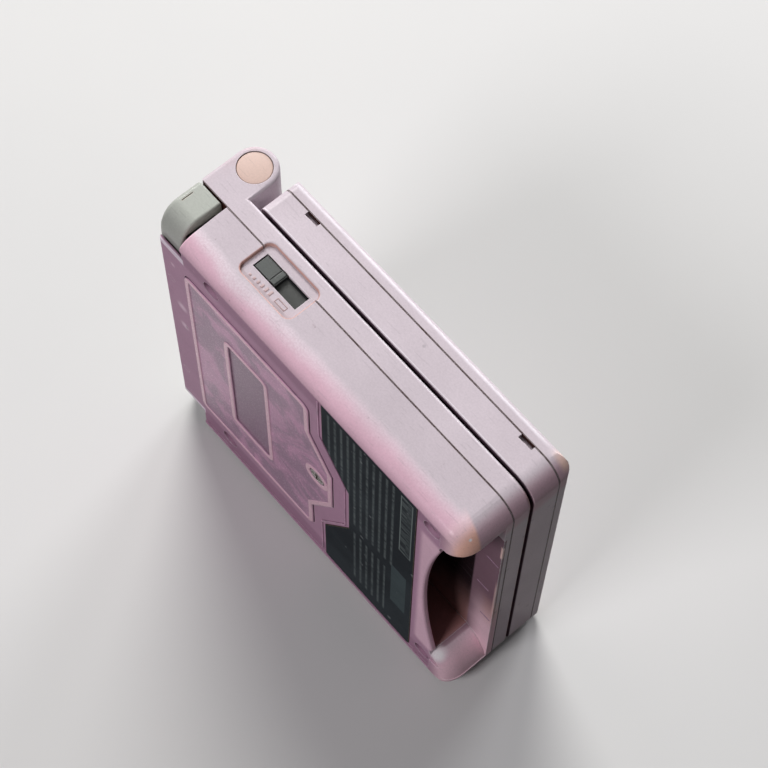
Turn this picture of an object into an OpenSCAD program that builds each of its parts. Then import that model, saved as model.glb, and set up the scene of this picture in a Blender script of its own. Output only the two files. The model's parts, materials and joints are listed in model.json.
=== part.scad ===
// Clamshell handheld game console, closed, standing on its right-hand side.
// Every place is measured from the rear edge (x), the underside (y) and the right side (z);
// framed() then moves the origin to the bottom centre of the standing console.

/* [Body] */
// Depth from the hinge edge to the cartridge edge
body_depth = 84.6; // [82:0.1:95]
// Width from the right side to the left side
body_width = 82; // [80:0.5:95]
// Plan radius of the two front corners
corner_r = 5; // [4:0.1:6]
// Plan radius of the two rear corners
rear_r = 2.2; // [1.8:0.1:3]
// Radius of the long edges of the underside
edge_r = 2.2; // [1.8:0.1:2.3]
// Thickness of the moulded side walls
wall = 1.5; // [1.3:0.05:1.7]
// Height of the key surface above the underside
base_top = 15.7; // [15.4:0.1:17]
// Height of the upper shell, from seam to key surface
upper_shell_h = 4.2; // [3.8:0.1:4.6]
// Thickness of the key surface
key_wall = 1.5; // [1.2:0.05:1.5]
// Thickness of the underside, rim included
floor_t = 1.9; // [1.8:0.05:2.1]
// Step from the side rims down to the underside panel
panel_recess = 0.45; // [0.3:0.05:0.5]
// Width of the side rims beside the underside panel
rim_w = 2.6; // [2.5:0.1:2.8]
// Length of the full-height fins beside the slot's mouth
fin_len = 6; // [5:0.5:6.5]
// Width of those fins
fin_w = 8.4; // [8:0.1:9]

/* [Lid] */
// Gap between the key surface and the closed lid
lid_gap = 0.5; // [0.5:0.05:0.8]
// Height of the lid's inner shell
lid_inner_h = 5.9; // [5.8:0.1:7]
// Height of the lid's outer shell
lid_outer_h = 2.9; // [2.4:0.1:3.1]
// Wall thickness of both lid shells
lid_wall = 1.4; // [1.2:0.05:1.5]
// Thickness of the lid's inner face, around the screen
lid_face_t = 2; // [1.9:0.05:2.1]
// Plan radius of the lid's two rear corners
lid_rear_r = 2; // [1.8:0.1:3]
// Radius along the lid's outer face
lid_edge_r = 1.6; // [1:0.1:1.8]
// Distance from the hinge edge to the lid's rear edge beside the arms
lid_rear_x = 11.3; // [10.6:0.1:12]

/* [Hinge] */
// Outer radius of the hinge barrels
hinge_r = 4.6; // [4.4:0.05:4.7]
// Width of each hinge arm
arm_w = 10.5; // [9.5:0.1:12]
// Side gap between an arm and the lid's barrel
arm_gap = 0.3; // [0.2:0.05:0.5]
// Radius of the bores for the hinge pins
hinge_bore_r = 2; // [1.8:0.05:2.2]
// Length of each hinge pin inside the barrel
pin_reach = 10; // [8:0.5:12]
// Radius of the round hinge cap
cap_r = 3.4; // [3.1:0.05:3.5]
// Thickness of the hinge cap
cap_t = 1.1; // [0.8:0.1:1.4]

/* [Cartridge slot] */
// Clear width of the slot
slot_w = 57.5; // [57:0.1:60]
// Depth of the slot from the front edge
slot_depth = 33.1; // [32:0.1:33.5]
// Wall thickness of the slot's roof and sides
slot_wall = 1; // [0.8:0.05:1]
// Extra width at the mouth, on each side
mouth_flare = 4.2; // [3:0.1:4.5]
// Length of the flared mouth
mouth_len = 6; // [4:0.5:8]
// Depth of the curved finger notch at its middle
notch_depth = 9.6; // [8:0.1:11]
// Depth of the finger notch at its ends
notch_end = 5.9; // [5:0.1:6.5]

/* [Battery] */
// Distance from each side to the battery cover
cover_side = 11.8; // [11.4:0.1:13]
// Distance from the hinge edge to the battery cover
cover_x = 7.9; // [7.8:0.1:8.1]
// Length of the screw tongue on the cover
tongue_len = 6.2; // [5.8:0.1:6.4]
// Half width of the tongue where it leaves the cover
tongue_half = 18; // [16:0.5:19]
// Half width of the tongue at its tip
tongue_tip = 7.5; // [7:0.1:9]
// Thickness of the battery cover
cover_t = 1.1; // [0.9:0.05:1.2]

/* [Buttons] */
// Radius of the two action buttons
action_r = 4.6; // [4.2:0.1:5]
// Radius of the start and select buttons
small_r = 2.7; // [2.4:0.1:3]
// Span of the direction pad
dpad_span = 19; // [18:0.5:19.5]
// Width of each arm of the direction pad
dpad_arm = 6.6; // [6:0.1:7]
// How far the buttons stand out of the key surface
button_rise = 0.2; // [0.1:0.05:0.2]
// Free travel of the face buttons
button_travel = 0.6; // [0.5:0.05:0.6]
// Width of each shoulder button along the hinge edge
shoulder_w = 23.5; // [22:0.5:24]
// Depth of the shoulder buttons
shoulder_d = 6.3; // [6:0.1:6.5]
// How far the round of a shoulder button's outer lower edge runs up its side
shoulder_round_y = 4.4; // [4:0.1:4.8]
// How far that round runs along its underside
shoulder_round_z = 6; // [5:0.1:6.5]
// Gap behind a shoulder button for its travel
shoulder_gap = 1.4; // [1.3:0.05:1.5]

/* [Side switches] */
// Length of the recess around the side switches
recess_len = 14.1; // [13.8:0.1:15]
// Height of the recess around the side switches
recess_h = 7.9; // [7.5:0.1:8]
// Depth of the recess around the side switches
recess_t = 0.8; // [0.6:0.05:0.9]
// Length of the switch window
window_len = 11.6; // [11:0.1:12]
// Height of the switch window
window_h = 3.5; // [3.3:0.05:3.8]
// Length of the volume knob
volume_knob = 5.6; // [5:0.1:6]
// Length of the power knob
power_knob = 7.6; // [7:0.1:8]

/* [Fits] */
// Clearance of sliding and seated plastic parts, on each side
fit = 0.15; // [0.1:0.01:0.2]
// Radial clearance of pins in their bores
pin_fit = 0.05; // [0.03:0.01:0.08]

/* [Hidden] */
$fn = 64;
eps = 0.01;
over = 1;

pearl = [0.85, 0.76, 0.79];
shade_pink = [0.72, 0.60, 0.66];
peach = [0.87, 0.76, 0.71];
sage = [0.71, 0.74, 0.71];
charcoal = [0.20, 0.22, 0.22];
slate = [0.18, 0.21, 0.22];
steel = [0.66, 0.67, 0.68];
gold = [0.80, 0.66, 0.35];
board_green = [0.12, 0.36, 0.22];
rubber_grey = [0.55, 0.55, 0.54];

lower_shell_h = base_top - upper_shell_h;
lid_bottom = base_top + lid_gap;
lid_seam = lid_bottom + lid_inner_h;
body_thick = lid_seam + lid_outer_h;
mid_z = body_width / 2;
key_under = base_top - key_wall;

hinge_x = hinge_r;
hinge_y = body_thick - hinge_r;
barrel_z0 = arm_w + arm_gap;
barrel_z1 = body_width - arm_w - arm_gap;
pin_r = hinge_bore_r - pin_fit;
roll_r = 1.2;
roll_t = 0.25;
way_r = 0.6;
way_z0 = body_width - 8;
way_z1 = body_width - 4.4;

slot_x = body_depth - slot_depth;
slot_z0 = mid_z - slot_w / 2;
slot_z1 = mid_z + slot_w / 2;
key_room = 2.2;
board_t = 1;
board_gap = 0.1;
board_top = key_under - key_room;
board_y = board_top - board_t;
slot_y1 = board_y - board_gap - slot_wall;
slot_h = slot_y1 - floor_t;

shoulder_z = body_width - shoulder_w;
shoulder_back = shoulder_d + shoulder_gap;
shoulder_pin_x = 3.2;
shoulder_pin_z = shoulder_z + 2.8;
shoulder_pin_r = 0.9;
shoulder_floor = 1.1;
ledge_in = 7.2;
comp_wall = 1.2;
spring_wire = 0.25;
spring_pitch = 0.6;
spring_turns = 4;
spring_y = 5.6;
spring_top = spring_y + spring_pitch * (spring_turns - 1);

// ports: shares of the room between the middle and a shoulder compartment
port_room = shoulder_z - mid_z;
port_t = 0.6;
port_fit = 0.2;
link_z = [mid_z + 0.21 * port_room, mid_z + 0.82 * port_room];
link_y = [floor_t + 1.8, board_y - 1.9];
charge_z = [mid_z - 0.76 * port_room, mid_z - 0.27 * port_room];
charge_y = [floor_t + 2.8, board_y - 2.5];

conn_d = 3.8;
conn_x = slot_x - conn_d - board_gap;
conn_mid = floor_t + 4.6;
comb_t = 2.4;
comb_in = 4;
pin_n = 32;
pin_pitch = 1.5;

cover_w = body_width - 2 * cover_side;
cover_boss_r = 2.2;
cover_screw_x = conn_x - cover_boss_r - 0.5;
cover_x1 = cover_screw_x - 1.8;
cover_face = 0.3;
field_x = [cover_x + 11.8, cover_x + 22];
field_half = 17.5;
ledge_w = 2;
bay_x = cover_x + ledge_w;
bay_d = cover_x1 - bay_x - 1.2;
bay_w = cover_w - 5.4;
bay_top = slot_y1 - 1.2;
battery_d = bay_d - 1;
battery_w = bay_w - 3;
battery_t = bay_top - floor_t - 0.6;
battery_r = 1.4;
contact_pitch = 6;
label_x = [cover_x1 + 3.7, body_depth - 12.3];
label_notch = [21.5, 9];
label_gap = 4.8;

screw_r = 1;
screw_head_r = 1.9;
screw_head_t = 1;
boss_r = 2.5;
side_boss = 6.8;
boss_x = [16, body_depth - 8.6];

vol_x = 18;
recess_y = 5.2;
window_x = vol_x + 1.3;
window_y = recess_y + 2.6;

dpad_out = 21;
a_out = 28.2;
b_out = 15.5;
small_out = 9;
small_front = 13.6;
speaker_front = 30.1;
dpad_at = [36.5, mid_z + dpad_out];
a_at = [31.5, mid_z - a_out];
b_at = [37, mid_z - b_out];
select_at = [body_depth - small_front, mid_z + small_out];
start_at = [body_depth - small_front, mid_z - small_out];
light_at = [18, mid_z];
speaker_at = [body_depth - speaker_front, mid_z];
speaker_r = 9;
grille_slot = 0.55;
led_at = [[20, 4], [25, 4]];
led_r = 1;
flange_t = 0.6;
flange_w = 0.9;
flange_top = key_under - 0.1;
flange_y = flange_top - flange_t;
dome_top = flange_y - button_travel - 0.05;
sheet_t = 0.3;
guard_r = dpad_span / 2 - 1.2;
guard_top = key_under - 0.55;
guard_y = guard_top - 0.5;
pivot_r = 0.6;
pivot_y = guard_y - 0.2;
// chips: span in x, span from the middle in z, then height
chips = [
    [body_depth - 18.6, body_depth - 8.6, 16, 28, 1.2],
    [body_depth - 20.6, body_depth - 7.6, -30, -18, 1],
    [22, 29, -6, 4, 1], [50, 56, 22, 30, 1]
];

lens_x0 = 20.5;
lens_x1 = body_depth - 10.1;
lens_z0 = 6.5;
lens_t = 1;
lens_depth = 1.4;
view_in = 4;
lcd_y = lid_bottom + lid_face_t + 0.1;
lcd_t = 3;
lcd_in = 1.6;
ribbon_w = 22;
ribbon_t = 0.25;
lid_screw_at = [[lid_rear_x + 4.2, 5.3], [body_depth - 4.8, 5.3]];
lid_boss_r = 2.2;
pad_r = 1.9;
pad_out = 0.25;
lid_notch_len = 3.3;
lid_notch_h = 1;
lid_notch_rear = 6.5;
lid_notch_front = 10;
lid_notch_x = [lid_rear_x + lid_notch_rear, body_depth - lid_notch_front];
lid_screw_len = 5;

// ---- shared shapes -------------------------------------------------------

// Moves the rear-underside-right corner so that the origin is at the bottom centre
module framed() { translate([-body_depth / 2, -body_thick / 2, 0]) children(); }

// A plan outline in x and z, from one y to another
module slab(y0, y1) { translate([0, y1, 0]) rotate([90, 0, 0]) linear_extrude(y1 - y0) children(); }

// A side profile in x and y, from one z to another
module bar(z0, z1) { translate([0, 0, z0]) linear_extrude(z1 - z0) children(); }

// An end profile in y and z, from one x to another
module beam(x0, x1) { translate([x0, 0, 0]) rotate([90, 0, 90]) linear_extrude(x1 - x0) children(); }

// A box from one corner to the opposite one
module block(a, b) { translate(a) cube(b - a); }

// A rectangle with round corners, from one corner to the opposite one
module rrect(a, b, r) {
    translate([a.x + r, a.y]) square([b.x - a.x - 2 * r, b.y - a.y]);
    translate([a.x, a.y + r]) square([b.x - a.x, b.y - a.y - 2 * r]);
    for (u = [a.x + r, b.x - r], v = [a.y + r, b.y - r]) translate([u, v]) circle(r);
}

// A rod along y at a point given in x and z
module post(at, r, y0, y1) { translate([at.x, y1, at.y]) rotate([90, 0, 0]) cylinder(r = r, h = y1 - y0); }

// A rod along z on the hinge axis
module axle(r, z0, z1) { translate([hinge_x, hinge_y, z0]) cylinder(r = r, h = z1 - z0); }

// The same thing on the left side and, mirrored, on the right side
module both_sides() {
    children();
    mirrored() children();
}
module mirrored() { translate([0, 0, body_width]) mirror([0, 0, 1]) children(); }

// ---- base shells ---------------------------------------------------------

// Plan of the base: wide front corners and tighter rear ones
module base_outline(inset) {
    rrect([inset, inset], [body_depth - inset, body_width - inset], corner_r - inset);
    rrect([inset, inset], [body_depth / 2, body_width - inset], rear_r - inset);
}

// Outer form of the lower shell: plan corners and rounded underside edges
module lower_form() {
    intersection() {
        slab(0, lower_shell_h) base_outline(0);
        bar(0, body_width) rrect([0, 0], [body_depth, lower_shell_h + 2 * edge_r], edge_r);
        beam(0, body_depth) rrect([0, 0], [lower_shell_h + 2 * edge_r, body_width], edge_r);
    }
}

// Plan of the battery cover: a rectangle with a tapered screw tongue
module cover_outline(grow) {
    z0 = cover_side - grow;
    rrect([cover_x - grow, z0], [cover_x1 + grow, body_width - z0], 2);
    root = tongue_half + grow;
    tip = tongue_tip + grow / 2;
    polygon([
        [cover_x1 - 3, mid_z - root], [cover_x1 + grow, mid_z - root],
        [cover_x1 + tongue_len + grow, mid_z - tip], [cover_x1 + tongue_len + grow, mid_z + tip],
        [cover_x1 + grow, mid_z + root], [cover_x1 - 3, mid_z + root]
    ]);
}

// The finger notch: a wide arc across the slot at the underside
module notch_plan() {
    half = slot_w / 2;
    sag = notch_depth - notch_end;
    r = (half * half + sag * sag) / (2 * sag);
    intersection() {
        translate([body_depth - notch_depth + r, mid_z]) circle(r, $fn = 360);
        translate([body_depth - notch_depth - over, slot_z0]) square([notch_depth + 2 * over, slot_w]);
    }
    mouth_plan();
}

// The slot's mouth, flared towards the front edge
module mouth_plan() {
    x0 = body_depth - mouth_len;
    x1 = body_depth + over;
    polygon([
        [x0, slot_z0], [body_depth, slot_z0 - mouth_flare], [x1, slot_z0 - mouth_flare],
        [x1, slot_z1 + mouth_flare], [body_depth, slot_z1 + mouth_flare], [x0, slot_z1]
    ]);
}

module switch_recess_cut() {
    z0 = body_width - recess_t;
    bar(z0, body_width + over)
        rrect([vol_x, recess_y], [vol_x + recess_len, recess_y + recess_h], 1.5);
    block([window_x, window_y, body_width - 4], [window_x + window_len, window_y + window_h, z0 + over]);
}

module port_cuts() {
    for (p = [[link_y, link_z, 1], [charge_y, charge_z, 0.8]])
        beam(-over, wall + over) rrect([p[0][0], p[1][0]], [p[0][1], p[1][1]], p[2]);
}

module shoulder_cut() {
    block([-over, shoulder_floor, shoulder_z], [shoulder_back, lower_shell_h + over, body_width + over]);
}

module base_boss_places() {
    for (x = boss_x, z = [side_boss, body_width - side_boss]) translate([x, 0, z]) children();
}

module base_lower_shell() framed() color(pearl) difference() {
    union() {
        difference() {
            lower_form();
            slab(floor_t, lower_shell_h + over) base_outline(wall);
        }
        intersection() {
            union() {
                // shoulder compartments
                both_sides() {
                    block([shoulder_back, floor_t - eps, shoulder_z - comp_wall],
                        [shoulder_back + comp_wall, lower_shell_h, body_width - eps]);
                    block([eps, floor_t - eps, shoulder_z - comp_wall],
                        [shoulder_back + eps, lower_shell_h, shoulder_z]);
                }
                // slot roof and sides
                block([slot_x, floor_t - eps, slot_z0 - slot_wall],
                    [body_depth, slot_y1 + slot_wall, slot_z1 + slot_wall]);
                block([body_depth - mouth_len - 2, floor_t - eps, slot_z0 - mouth_flare - slot_wall],
                    [body_depth, slot_y1 + slot_wall, slot_z1 + mouth_flare + slot_wall]);
                block([body_depth - wall, floor_t - eps, wall],
                    [body_depth, lower_shell_h, body_width - wall]);
                // battery bay with the ledge under its cover
                slab(floor_t - eps, floor_t + 0.7) cover_outline(1);
                block([bay_x - 1, floor_t, mid_z - bay_w / 2 - 1],
                    [bay_x + bay_d + 1, bay_top + 1, mid_z + bay_w / 2 + 1]);
                post([cover_screw_x, mid_z], cover_boss_r, floor_t, floor_t + 5);
                base_boss_places() rotate([-90, 0, 0])
                    translate([0, 0, floor_t - eps]) cylinder(r = boss_r, h = board_y - 0.1 - floor_t);
            }
            lower_form();
        }
    }
    // recessed underside panel between the side rims and the fins
    difference() {
        block([-over, -over, rim_w], [body_depth + over, panel_recess, body_width - rim_w]);
        both_sides() block([body_depth - fin_len, -2 * over, body_width - fin_w],
            [body_depth + 2 * over, 2 * over, body_width]);
    }
    // cartridge slot
    block([slot_x - eps, floor_t, slot_z0], [body_depth - mouth_len + eps, slot_y1, slot_z1]);
    slab(floor_t, slot_y1) mouth_plan();
    slab(-over, floor_t + eps) notch_plan();
    // battery bay
    slab(-over, cover_face + cover_t + fit) cover_outline(fit);
    block([bay_x, 0, mid_z - bay_w / 2], [bay_x + bay_d, bay_top, mid_z + bay_w / 2]);
    post([cover_screw_x, mid_z], screw_r - 0.1, -over, floor_t + 4);
    both_sides() {
        shoulder_cut();
        // the floor stops short of the side, under the shoulder button's round
        block([-over, -over, body_width - ledge_in], [shoulder_back, shoulder_floor + eps, body_width + over]);
    }
    both_sides() switch_recess_cut();
    port_cuts();
    both_sides() post([shoulder_pin_x, shoulder_pin_z], shoulder_pin_r + pin_fit, 0.5, floor_t);
    base_boss_places() {
        rotate([-90, 0, 0]) translate([0, 0, -over]) cylinder(r = screw_r + 0.15, h = board_y + over);
        rotate([-90, 0, 0]) translate([0, 0, -over]) cylinder(r = screw_head_r + fit, h = over + 2.6);
    }
}

// Plan of the direction pad's cross
module cross(grow) {
    arm = dpad_arm + 2 * grow;
    span = dpad_span + 2 * grow;
    translate(dpad_at) {
        translate([-span / 2, -arm / 2]) square([span, arm]);
        translate([-arm / 2, -span / 2]) square([arm, span]);
    }
}

module arm_profile() {
    translate([0, lower_shell_h]) square([2 * hinge_r, hinge_y - lower_shell_h]);
    translate([hinge_x, hinge_y]) circle(hinge_r);
}

module arm_form() {
    intersection() {
        bar(body_width - arm_w, body_width) arm_profile();
        beam(-over, body_depth) rrect([-over, body_width - arm_w - 2], [body_thick + 2, body_width], 0.8);
    }
}

module base_upper_shell() framed() color(pearl) difference() {
    union() {
        difference() {
            slab(lower_shell_h, base_top) base_outline(0);
            slab(lower_shell_h - over, key_under) base_outline(wall);
        }
        both_sides() {
            arm_form();
            // plate over each shoulder compartment
            intersection() {
                block([0, lower_shell_h, shoulder_z - comp_wall],
                    [shoulder_back + comp_wall, lower_shell_h + 1, body_width]);
                slab(lower_shell_h, base_top) base_outline(0);
            }
        }
        base_boss_places() rotate([-90, 0, 0])
            translate([0, 0, board_y]) cylinder(r = boss_r - 0.1, h = key_under - board_y + eps);
    }
    // trough under the lid's barrel
    axle(hinge_r + 0.35, arm_w, body_width - arm_w);
    both_sides() {
        axle(hinge_bore_r, body_width - arm_w - over, body_width - cap_t - 0.1);
        axle(cap_r + pin_fit, body_width - cap_t - 0.1, body_width + over);
        switch_recess_cut();
        post([shoulder_pin_x, shoulder_pin_z], shoulder_pin_r + pin_fit,
            lower_shell_h - over, lower_shell_h + 0.7);
    }
    // way for the display ribbon down the left arm
    block([hinge_x - way_r, lower_shell_h + over, way_z0], [hinge_x + way_r, hinge_y, way_z1]);
    block([hinge_x - way_r, lower_shell_h + over, way_z0],
        [shoulder_back + comp_wall + over, key_under, way_z1]);
    // openings for the buttons
    slab(key_under - over, base_top + over) cross(0.45);
    for (p = [a_at, b_at]) post(p, action_r + fit, key_under - over, base_top + over);
    for (p = [start_at, select_at, light_at]) post(p, small_r + fit, key_under - over, base_top + over);
    // speaker grille: rows of slots
    for (i = [-2:2]) {
        half = 7 - abs(i);
        x = speaker_at.x + 2.6 * i;
        slab(key_under - over, base_top + over)
            rrect([x - grille_slot, mid_z - half], [x + grille_slot, mid_z + half], 0.5);
    }
    for (p = led_at) post(p, led_r + fit / 2, key_under - over, base_top + over);
    base_boss_places() rotate([-90, 0, 0]) translate([0, 0, board_y - over])
        cylinder(r = screw_r - 0.1, h = key_under - board_y + over - 0.2);
}

// ---- base pieces ---------------------------------------------------------

module battery_cover() framed() color(shade_pink) difference() {
    slab(cover_face, cover_face + cover_t) cover_outline(0);
    // bare recessed field
    slab(-over, cover_face + 0.2)
        rrect([field_x[0], mid_z - field_half], [field_x[1], mid_z + field_half], 0.8);
    post([cover_screw_x, mid_z], screw_r + 0.15, -over, cover_face + cover_t + over);
    post([cover_screw_x, mid_z], screw_head_r + fit, -over, cover_face + 0.5);
}

// A cross-head screw along y with its head at y0
module screw(at, y0, len, r = screw_r, head = screw_head_r, head_t = screw_head_t) {
    difference() {
        union() {
            post(at, head, y0, y0 + head_t);
            post(at, r, y0 + head_t - eps, y0 + len);
        }
        for (s = [[1.6, 0.4], [0.4, 1.6]])
            block([at.x - s.x * head / 2, y0 - over, at.y - s.y * head / 2],
                [at.x + s.x * head / 2, y0 + head_t / 2, at.y + s.y * head / 2]);
    }
}

module battery_cover_screw() framed() color(steel)
    screw([cover_screw_x, mid_z], cover_face - 0.1, floor_t + 3.4,
        screw_r - 0.1 - pin_fit, screw_head_r, 0.6);

module battery_pack() framed() color(charcoal) {
    x = bay_x + (bay_d - battery_d) / 2;
    z0 = mid_z - battery_w / 2;
    y0 = bay_top - 0.2 - battery_t;
    bar(z0, z0 + battery_w) rrect([x, y0], [x + battery_d, y0 + battery_t], battery_r);
}

module battery_contacts() framed() color(gold) {
    z0 = mid_z + battery_w / 2;
    for (i = [-1:1]) {
        x = bay_x + bay_d / 2 + contact_pitch * i;
        block([x - 1, floor_t + 1.5, z0 + 0.1], [x + 1, bay_top - 1.2, z0 + 0.5]);
        block([x - 1, bay_top - 1.6, z0 + 0.1], [x + 1, bay_top - 1.2, mid_z + bay_w / 2 - 0.05]);
    }
}

module rating_label() framed() color(slate) difference() {
    slab(panel_recess - 0.2, panel_recess)
        rrect([label_x[0], rim_w + 0.4], [label_x[1], body_width - rim_w - 0.4], 0.8);
    slab(-over, floor_t) polygon([
        [cover_x1, mid_z - label_notch[0]], [label_x[0], mid_z - label_notch[0]],
        [cover_x1 + tongue_len + label_gap, mid_z - label_notch[1]],
        [cover_x1 + tongue_len + label_gap, mid_z + label_notch[1]],
        [label_x[0], mid_z + label_notch[0]], [cover_x1, mid_z + label_notch[0]]
    ]);
}

module cartridge_connector() framed() color(charcoal) difference() {
    union() {
        block([conn_x, floor_t + 0.8, slot_z0 + 0.5], [conn_x + conn_d, board_y - 0.1, slot_z1 - 0.5]);
        block([conn_x, conn_mid - comb_t / 2, slot_z0 + comb_in],
            [slot_x + conn_d + 0.2, conn_mid + comb_t / 2, slot_z1 - comb_in]);
    }
    for (i = [0:pin_n - 1]) {
        z = mid_z + pin_pitch * (i - (pin_n - 1) / 2);
        block([slot_x - 1.5, conn_mid - comb_t / 2 - 0.5, z - 0.35],
            [slot_x + conn_d - 0.4, conn_mid - 0.8, z + 0.35]);
    }
}

module connector_pins() framed() color(gold)
    for (i = [0:pin_n - 1]) {
        z = mid_z + pin_pitch * (i - (pin_n - 1) / 2);
        block([slot_x - 1.4, conn_mid - comb_t / 2 + 0.05, z - 0.25],
            [slot_x + conn_d - 0.6, conn_mid - 0.8, z + 0.25]);
    }

module main_board() framed() color(board_green) difference() {
    edge = wall + 0.6;
    tab_z = shoulder_z - comp_wall - 0.5;
    slab(board_y, board_top) {
        rrect([shoulder_back + comp_wall + 0.5, edge], [body_depth - 2.4, body_width - edge], 3);
        translate([wall + 0.5, body_width - tab_z]) square([20, 2 * tab_z - body_width]);
    }
    post(speaker_at, speaker_r + 0.6, board_y - over, board_top + over);
    base_boss_places() rotate([-90, 0, 0]) translate([0, 0, board_y - over])
        cylinder(r = boss_r + 0.3, h = board_t + 2 * over);
    // edge notches beside the side switches
    both_sides() block([window_x - 1, board_y - over, body_width - wall - 1.6],
        [window_x + window_len + 1, board_top + over, body_width]);
}

module board_chips() framed() color(charcoal)
    for (c = chips)
        block([c[0], board_top, mid_z + c[2]], [c[1], board_top + c[4], mid_z + c[3]]);

module base_screws() framed() color(steel)
    for (x = boss_x, z = [side_boss, body_width - side_boss])
        screw([x, z], 1.4, board_y + 0.9, screw_r - 0.1 - pin_fit, screw_head_r, screw_head_t);

// Section of a shoulder button, with the round of its outer lower edge in short flats
module shoulder_section() {
    y0 = shoulder_floor + 0.3;
    polygon([
        [lower_shell_h, body_width], [lower_shell_h, shoulder_z], [y0, shoulder_z],
        for (a = [0:9:90])
            [y0 + shoulder_round_y * (1 - cos(a)), body_width - shoulder_round_z * (1 - sin(a))]
    ]);
}

module shoulder_form() {
    intersection() {
        beam(-over, shoulder_back) shoulder_section();
        slab(shoulder_floor + 0.3, lower_shell_h - 0.3)
            rrect([0, shoulder_z + 0.3], [shoulder_d, body_width], rear_r / 2);
        slab(0, lower_shell_h) base_outline(0);
        bar(0, body_width) rrect([0, 0], [body_depth, lower_shell_h + 2 * edge_r], edge_r);
        beam(-over, shoulder_back) rrect([0, 0], [lower_shell_h + 2 * edge_r, body_width], edge_r);
    }
}

module shoulder_button() difference() {
    shoulder_form();
    // hollow back
    block([wall, shoulder_floor + 0.3 + wall, shoulder_pin_z + 3.2],
        [shoulder_d + over, lower_shell_h - 0.3 - wall, body_width - wall - 1]);
    post([shoulder_pin_x, shoulder_pin_z], shoulder_pin_r + pin_fit, -over, lower_shell_h);
    // room for the return spring
    y0 = spring_y - 0.6;
    y1 = spring_top + 0.8;
    post([shoulder_pin_x, shoulder_pin_z], 2, y0, y1);
    block([shoulder_pin_x - 0.6, y0, shoulder_pin_z - 0.8],
        [shoulder_d + over, y1, shoulder_pin_z + 3.3]);
}

module shoulder_pin()
    post([shoulder_pin_x, shoulder_pin_z], shoulder_pin_r, 0.6, lower_shell_h + 0.6);

module shoulder_spring() {
    coil_r = shoulder_pin_r + 0.1 + spring_wire;
    for (i = [0:spring_turns - 1])
        translate([shoulder_pin_x, spring_y + spring_pitch * i, shoulder_pin_z]) rotate([90, 0, 0])
            rotate_extrude($fn = 48) translate([coil_r, 0]) circle(spring_wire, $fn = 24);
    post([shoulder_pin_x + coil_r, shoulder_pin_z], spring_wire / 2, spring_y, spring_top);
    translate([shoulder_pin_x, spring_top, shoulder_pin_z + coil_r]) rotate([0, 90, 0])
        cylinder(r = spring_wire - 0.02, h = shoulder_back - shoulder_pin_x - 0.05);
}

module shoulder_switch() {
    z = shoulder_pin_z + 10;
    block([shoulder_back - 0.9, 4.2, z - 2.2], [shoulder_back - 0.02, 8.6, z + 2.2]);
    translate([shoulder_back - 1.3, 6.4, z]) rotate([0, 90, 0]) cylinder(r = 1, h = 0.5);
}

module shoulder_button_left() framed() color(sage) shoulder_button();
module shoulder_button_right() framed() color(sage) mirrored() shoulder_button();
module shoulder_pin_left() framed() color(steel) shoulder_pin();
module shoulder_pin_right() framed() color(steel) mirrored() shoulder_pin();
module shoulder_spring_left() framed() color(steel) shoulder_spring();
module shoulder_spring_right() framed() color(steel) mirrored() shoulder_spring();
module shoulder_switch_left() framed() color(charcoal) shoulder_switch();
module shoulder_switch_right() framed() color(charcoal) mirrored() shoulder_switch();

// A side switch knob with a flange behind the window
module side_knob(len) {
    face = body_width - recess_t + 0.35;
    back = body_width - wall - 0.7;
    x0 = window_x + 0.2;
    difference() {
        union() {
            block([x0, window_y + fit, back], [x0 + len, window_y + window_h - fit, face]);
            block([x0, window_y - 0.6, back - 0.4], [x0 + len, window_y + window_h + 0.2, back + eps]);
        }
        for (i = [-1:1])
            block([x0 + len / 2 + 0.9 * i - 0.15, window_y, face - 0.25],
                [x0 + len / 2 + 0.9 * i + 0.15, window_y + window_h, face + over]);
    }
}

// The switch body behind the window
module side_switch() {
    back = body_width - wall - 1.3;
    block([window_x - 0.3, window_y - 1.4, back - 3],
        [window_x + window_len + 0.3, board_y - board_gap, back]);
}

module volume_slider() framed() color(charcoal) side_knob(volume_knob);
module volume_switch() framed() color(steel) side_switch();
module power_slider() framed() color(charcoal) mirrored() side_knob(power_knob);
module power_switch() framed() color(steel) mirrored() side_switch();

module dpad() framed() color(sage) difference() {
    slab(guard_top, base_top + button_rise) cross(0);
    post(dpad_at, 2.6, base_top + button_rise - 0.2, base_top + over);
}

module pivot_ball(r) translate([dpad_at.x, pivot_y, dpad_at.y]) sphere(r);

// Round plate under the cross that keeps it in the shell, with a socket for the pivot
module dpad_guard() framed() color(sage) difference() {
    post(dpad_at, guard_r, guard_y, guard_top);
    pivot_ball(pivot_r + pin_fit);
}

// Ball-ended nub that the plate rocks on
module dpad_pivot() framed() color(sage) {
    pivot_ball(pivot_r);
    post(dpad_at, pivot_r - 0.1, board_top + sheet_t + 0.05, pivot_y);
}

// A rubber sheet on the board with one low dome under each point
module membrane(points, r, half, top) {
    for (p = points) post(p, r, board_top, top);
    low = [for (k = [0, 1]) min([for (p = points) p[k]]) - half];
    high = [for (k = [0, 1]) max([for (p = points) p[k]]) + half];
    slab(board_top, board_top + sheet_t) rrect(low, high, 2);
}

module dpad_membrane() framed() color(rubber_grey) {
    reach = dpad_span / 2 - 3;
    membrane([for (d = [[1, 0], [-1, 0], [0, 1], [0, -1]]) dpad_at + reach * d], 1.6, 3, board_top + 0.6);
}

module push_button(at, r) {
    post(at, r, flange_top - eps, base_top + button_rise);
    post(at, r + flange_w, flange_y, flange_top);
}

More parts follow.
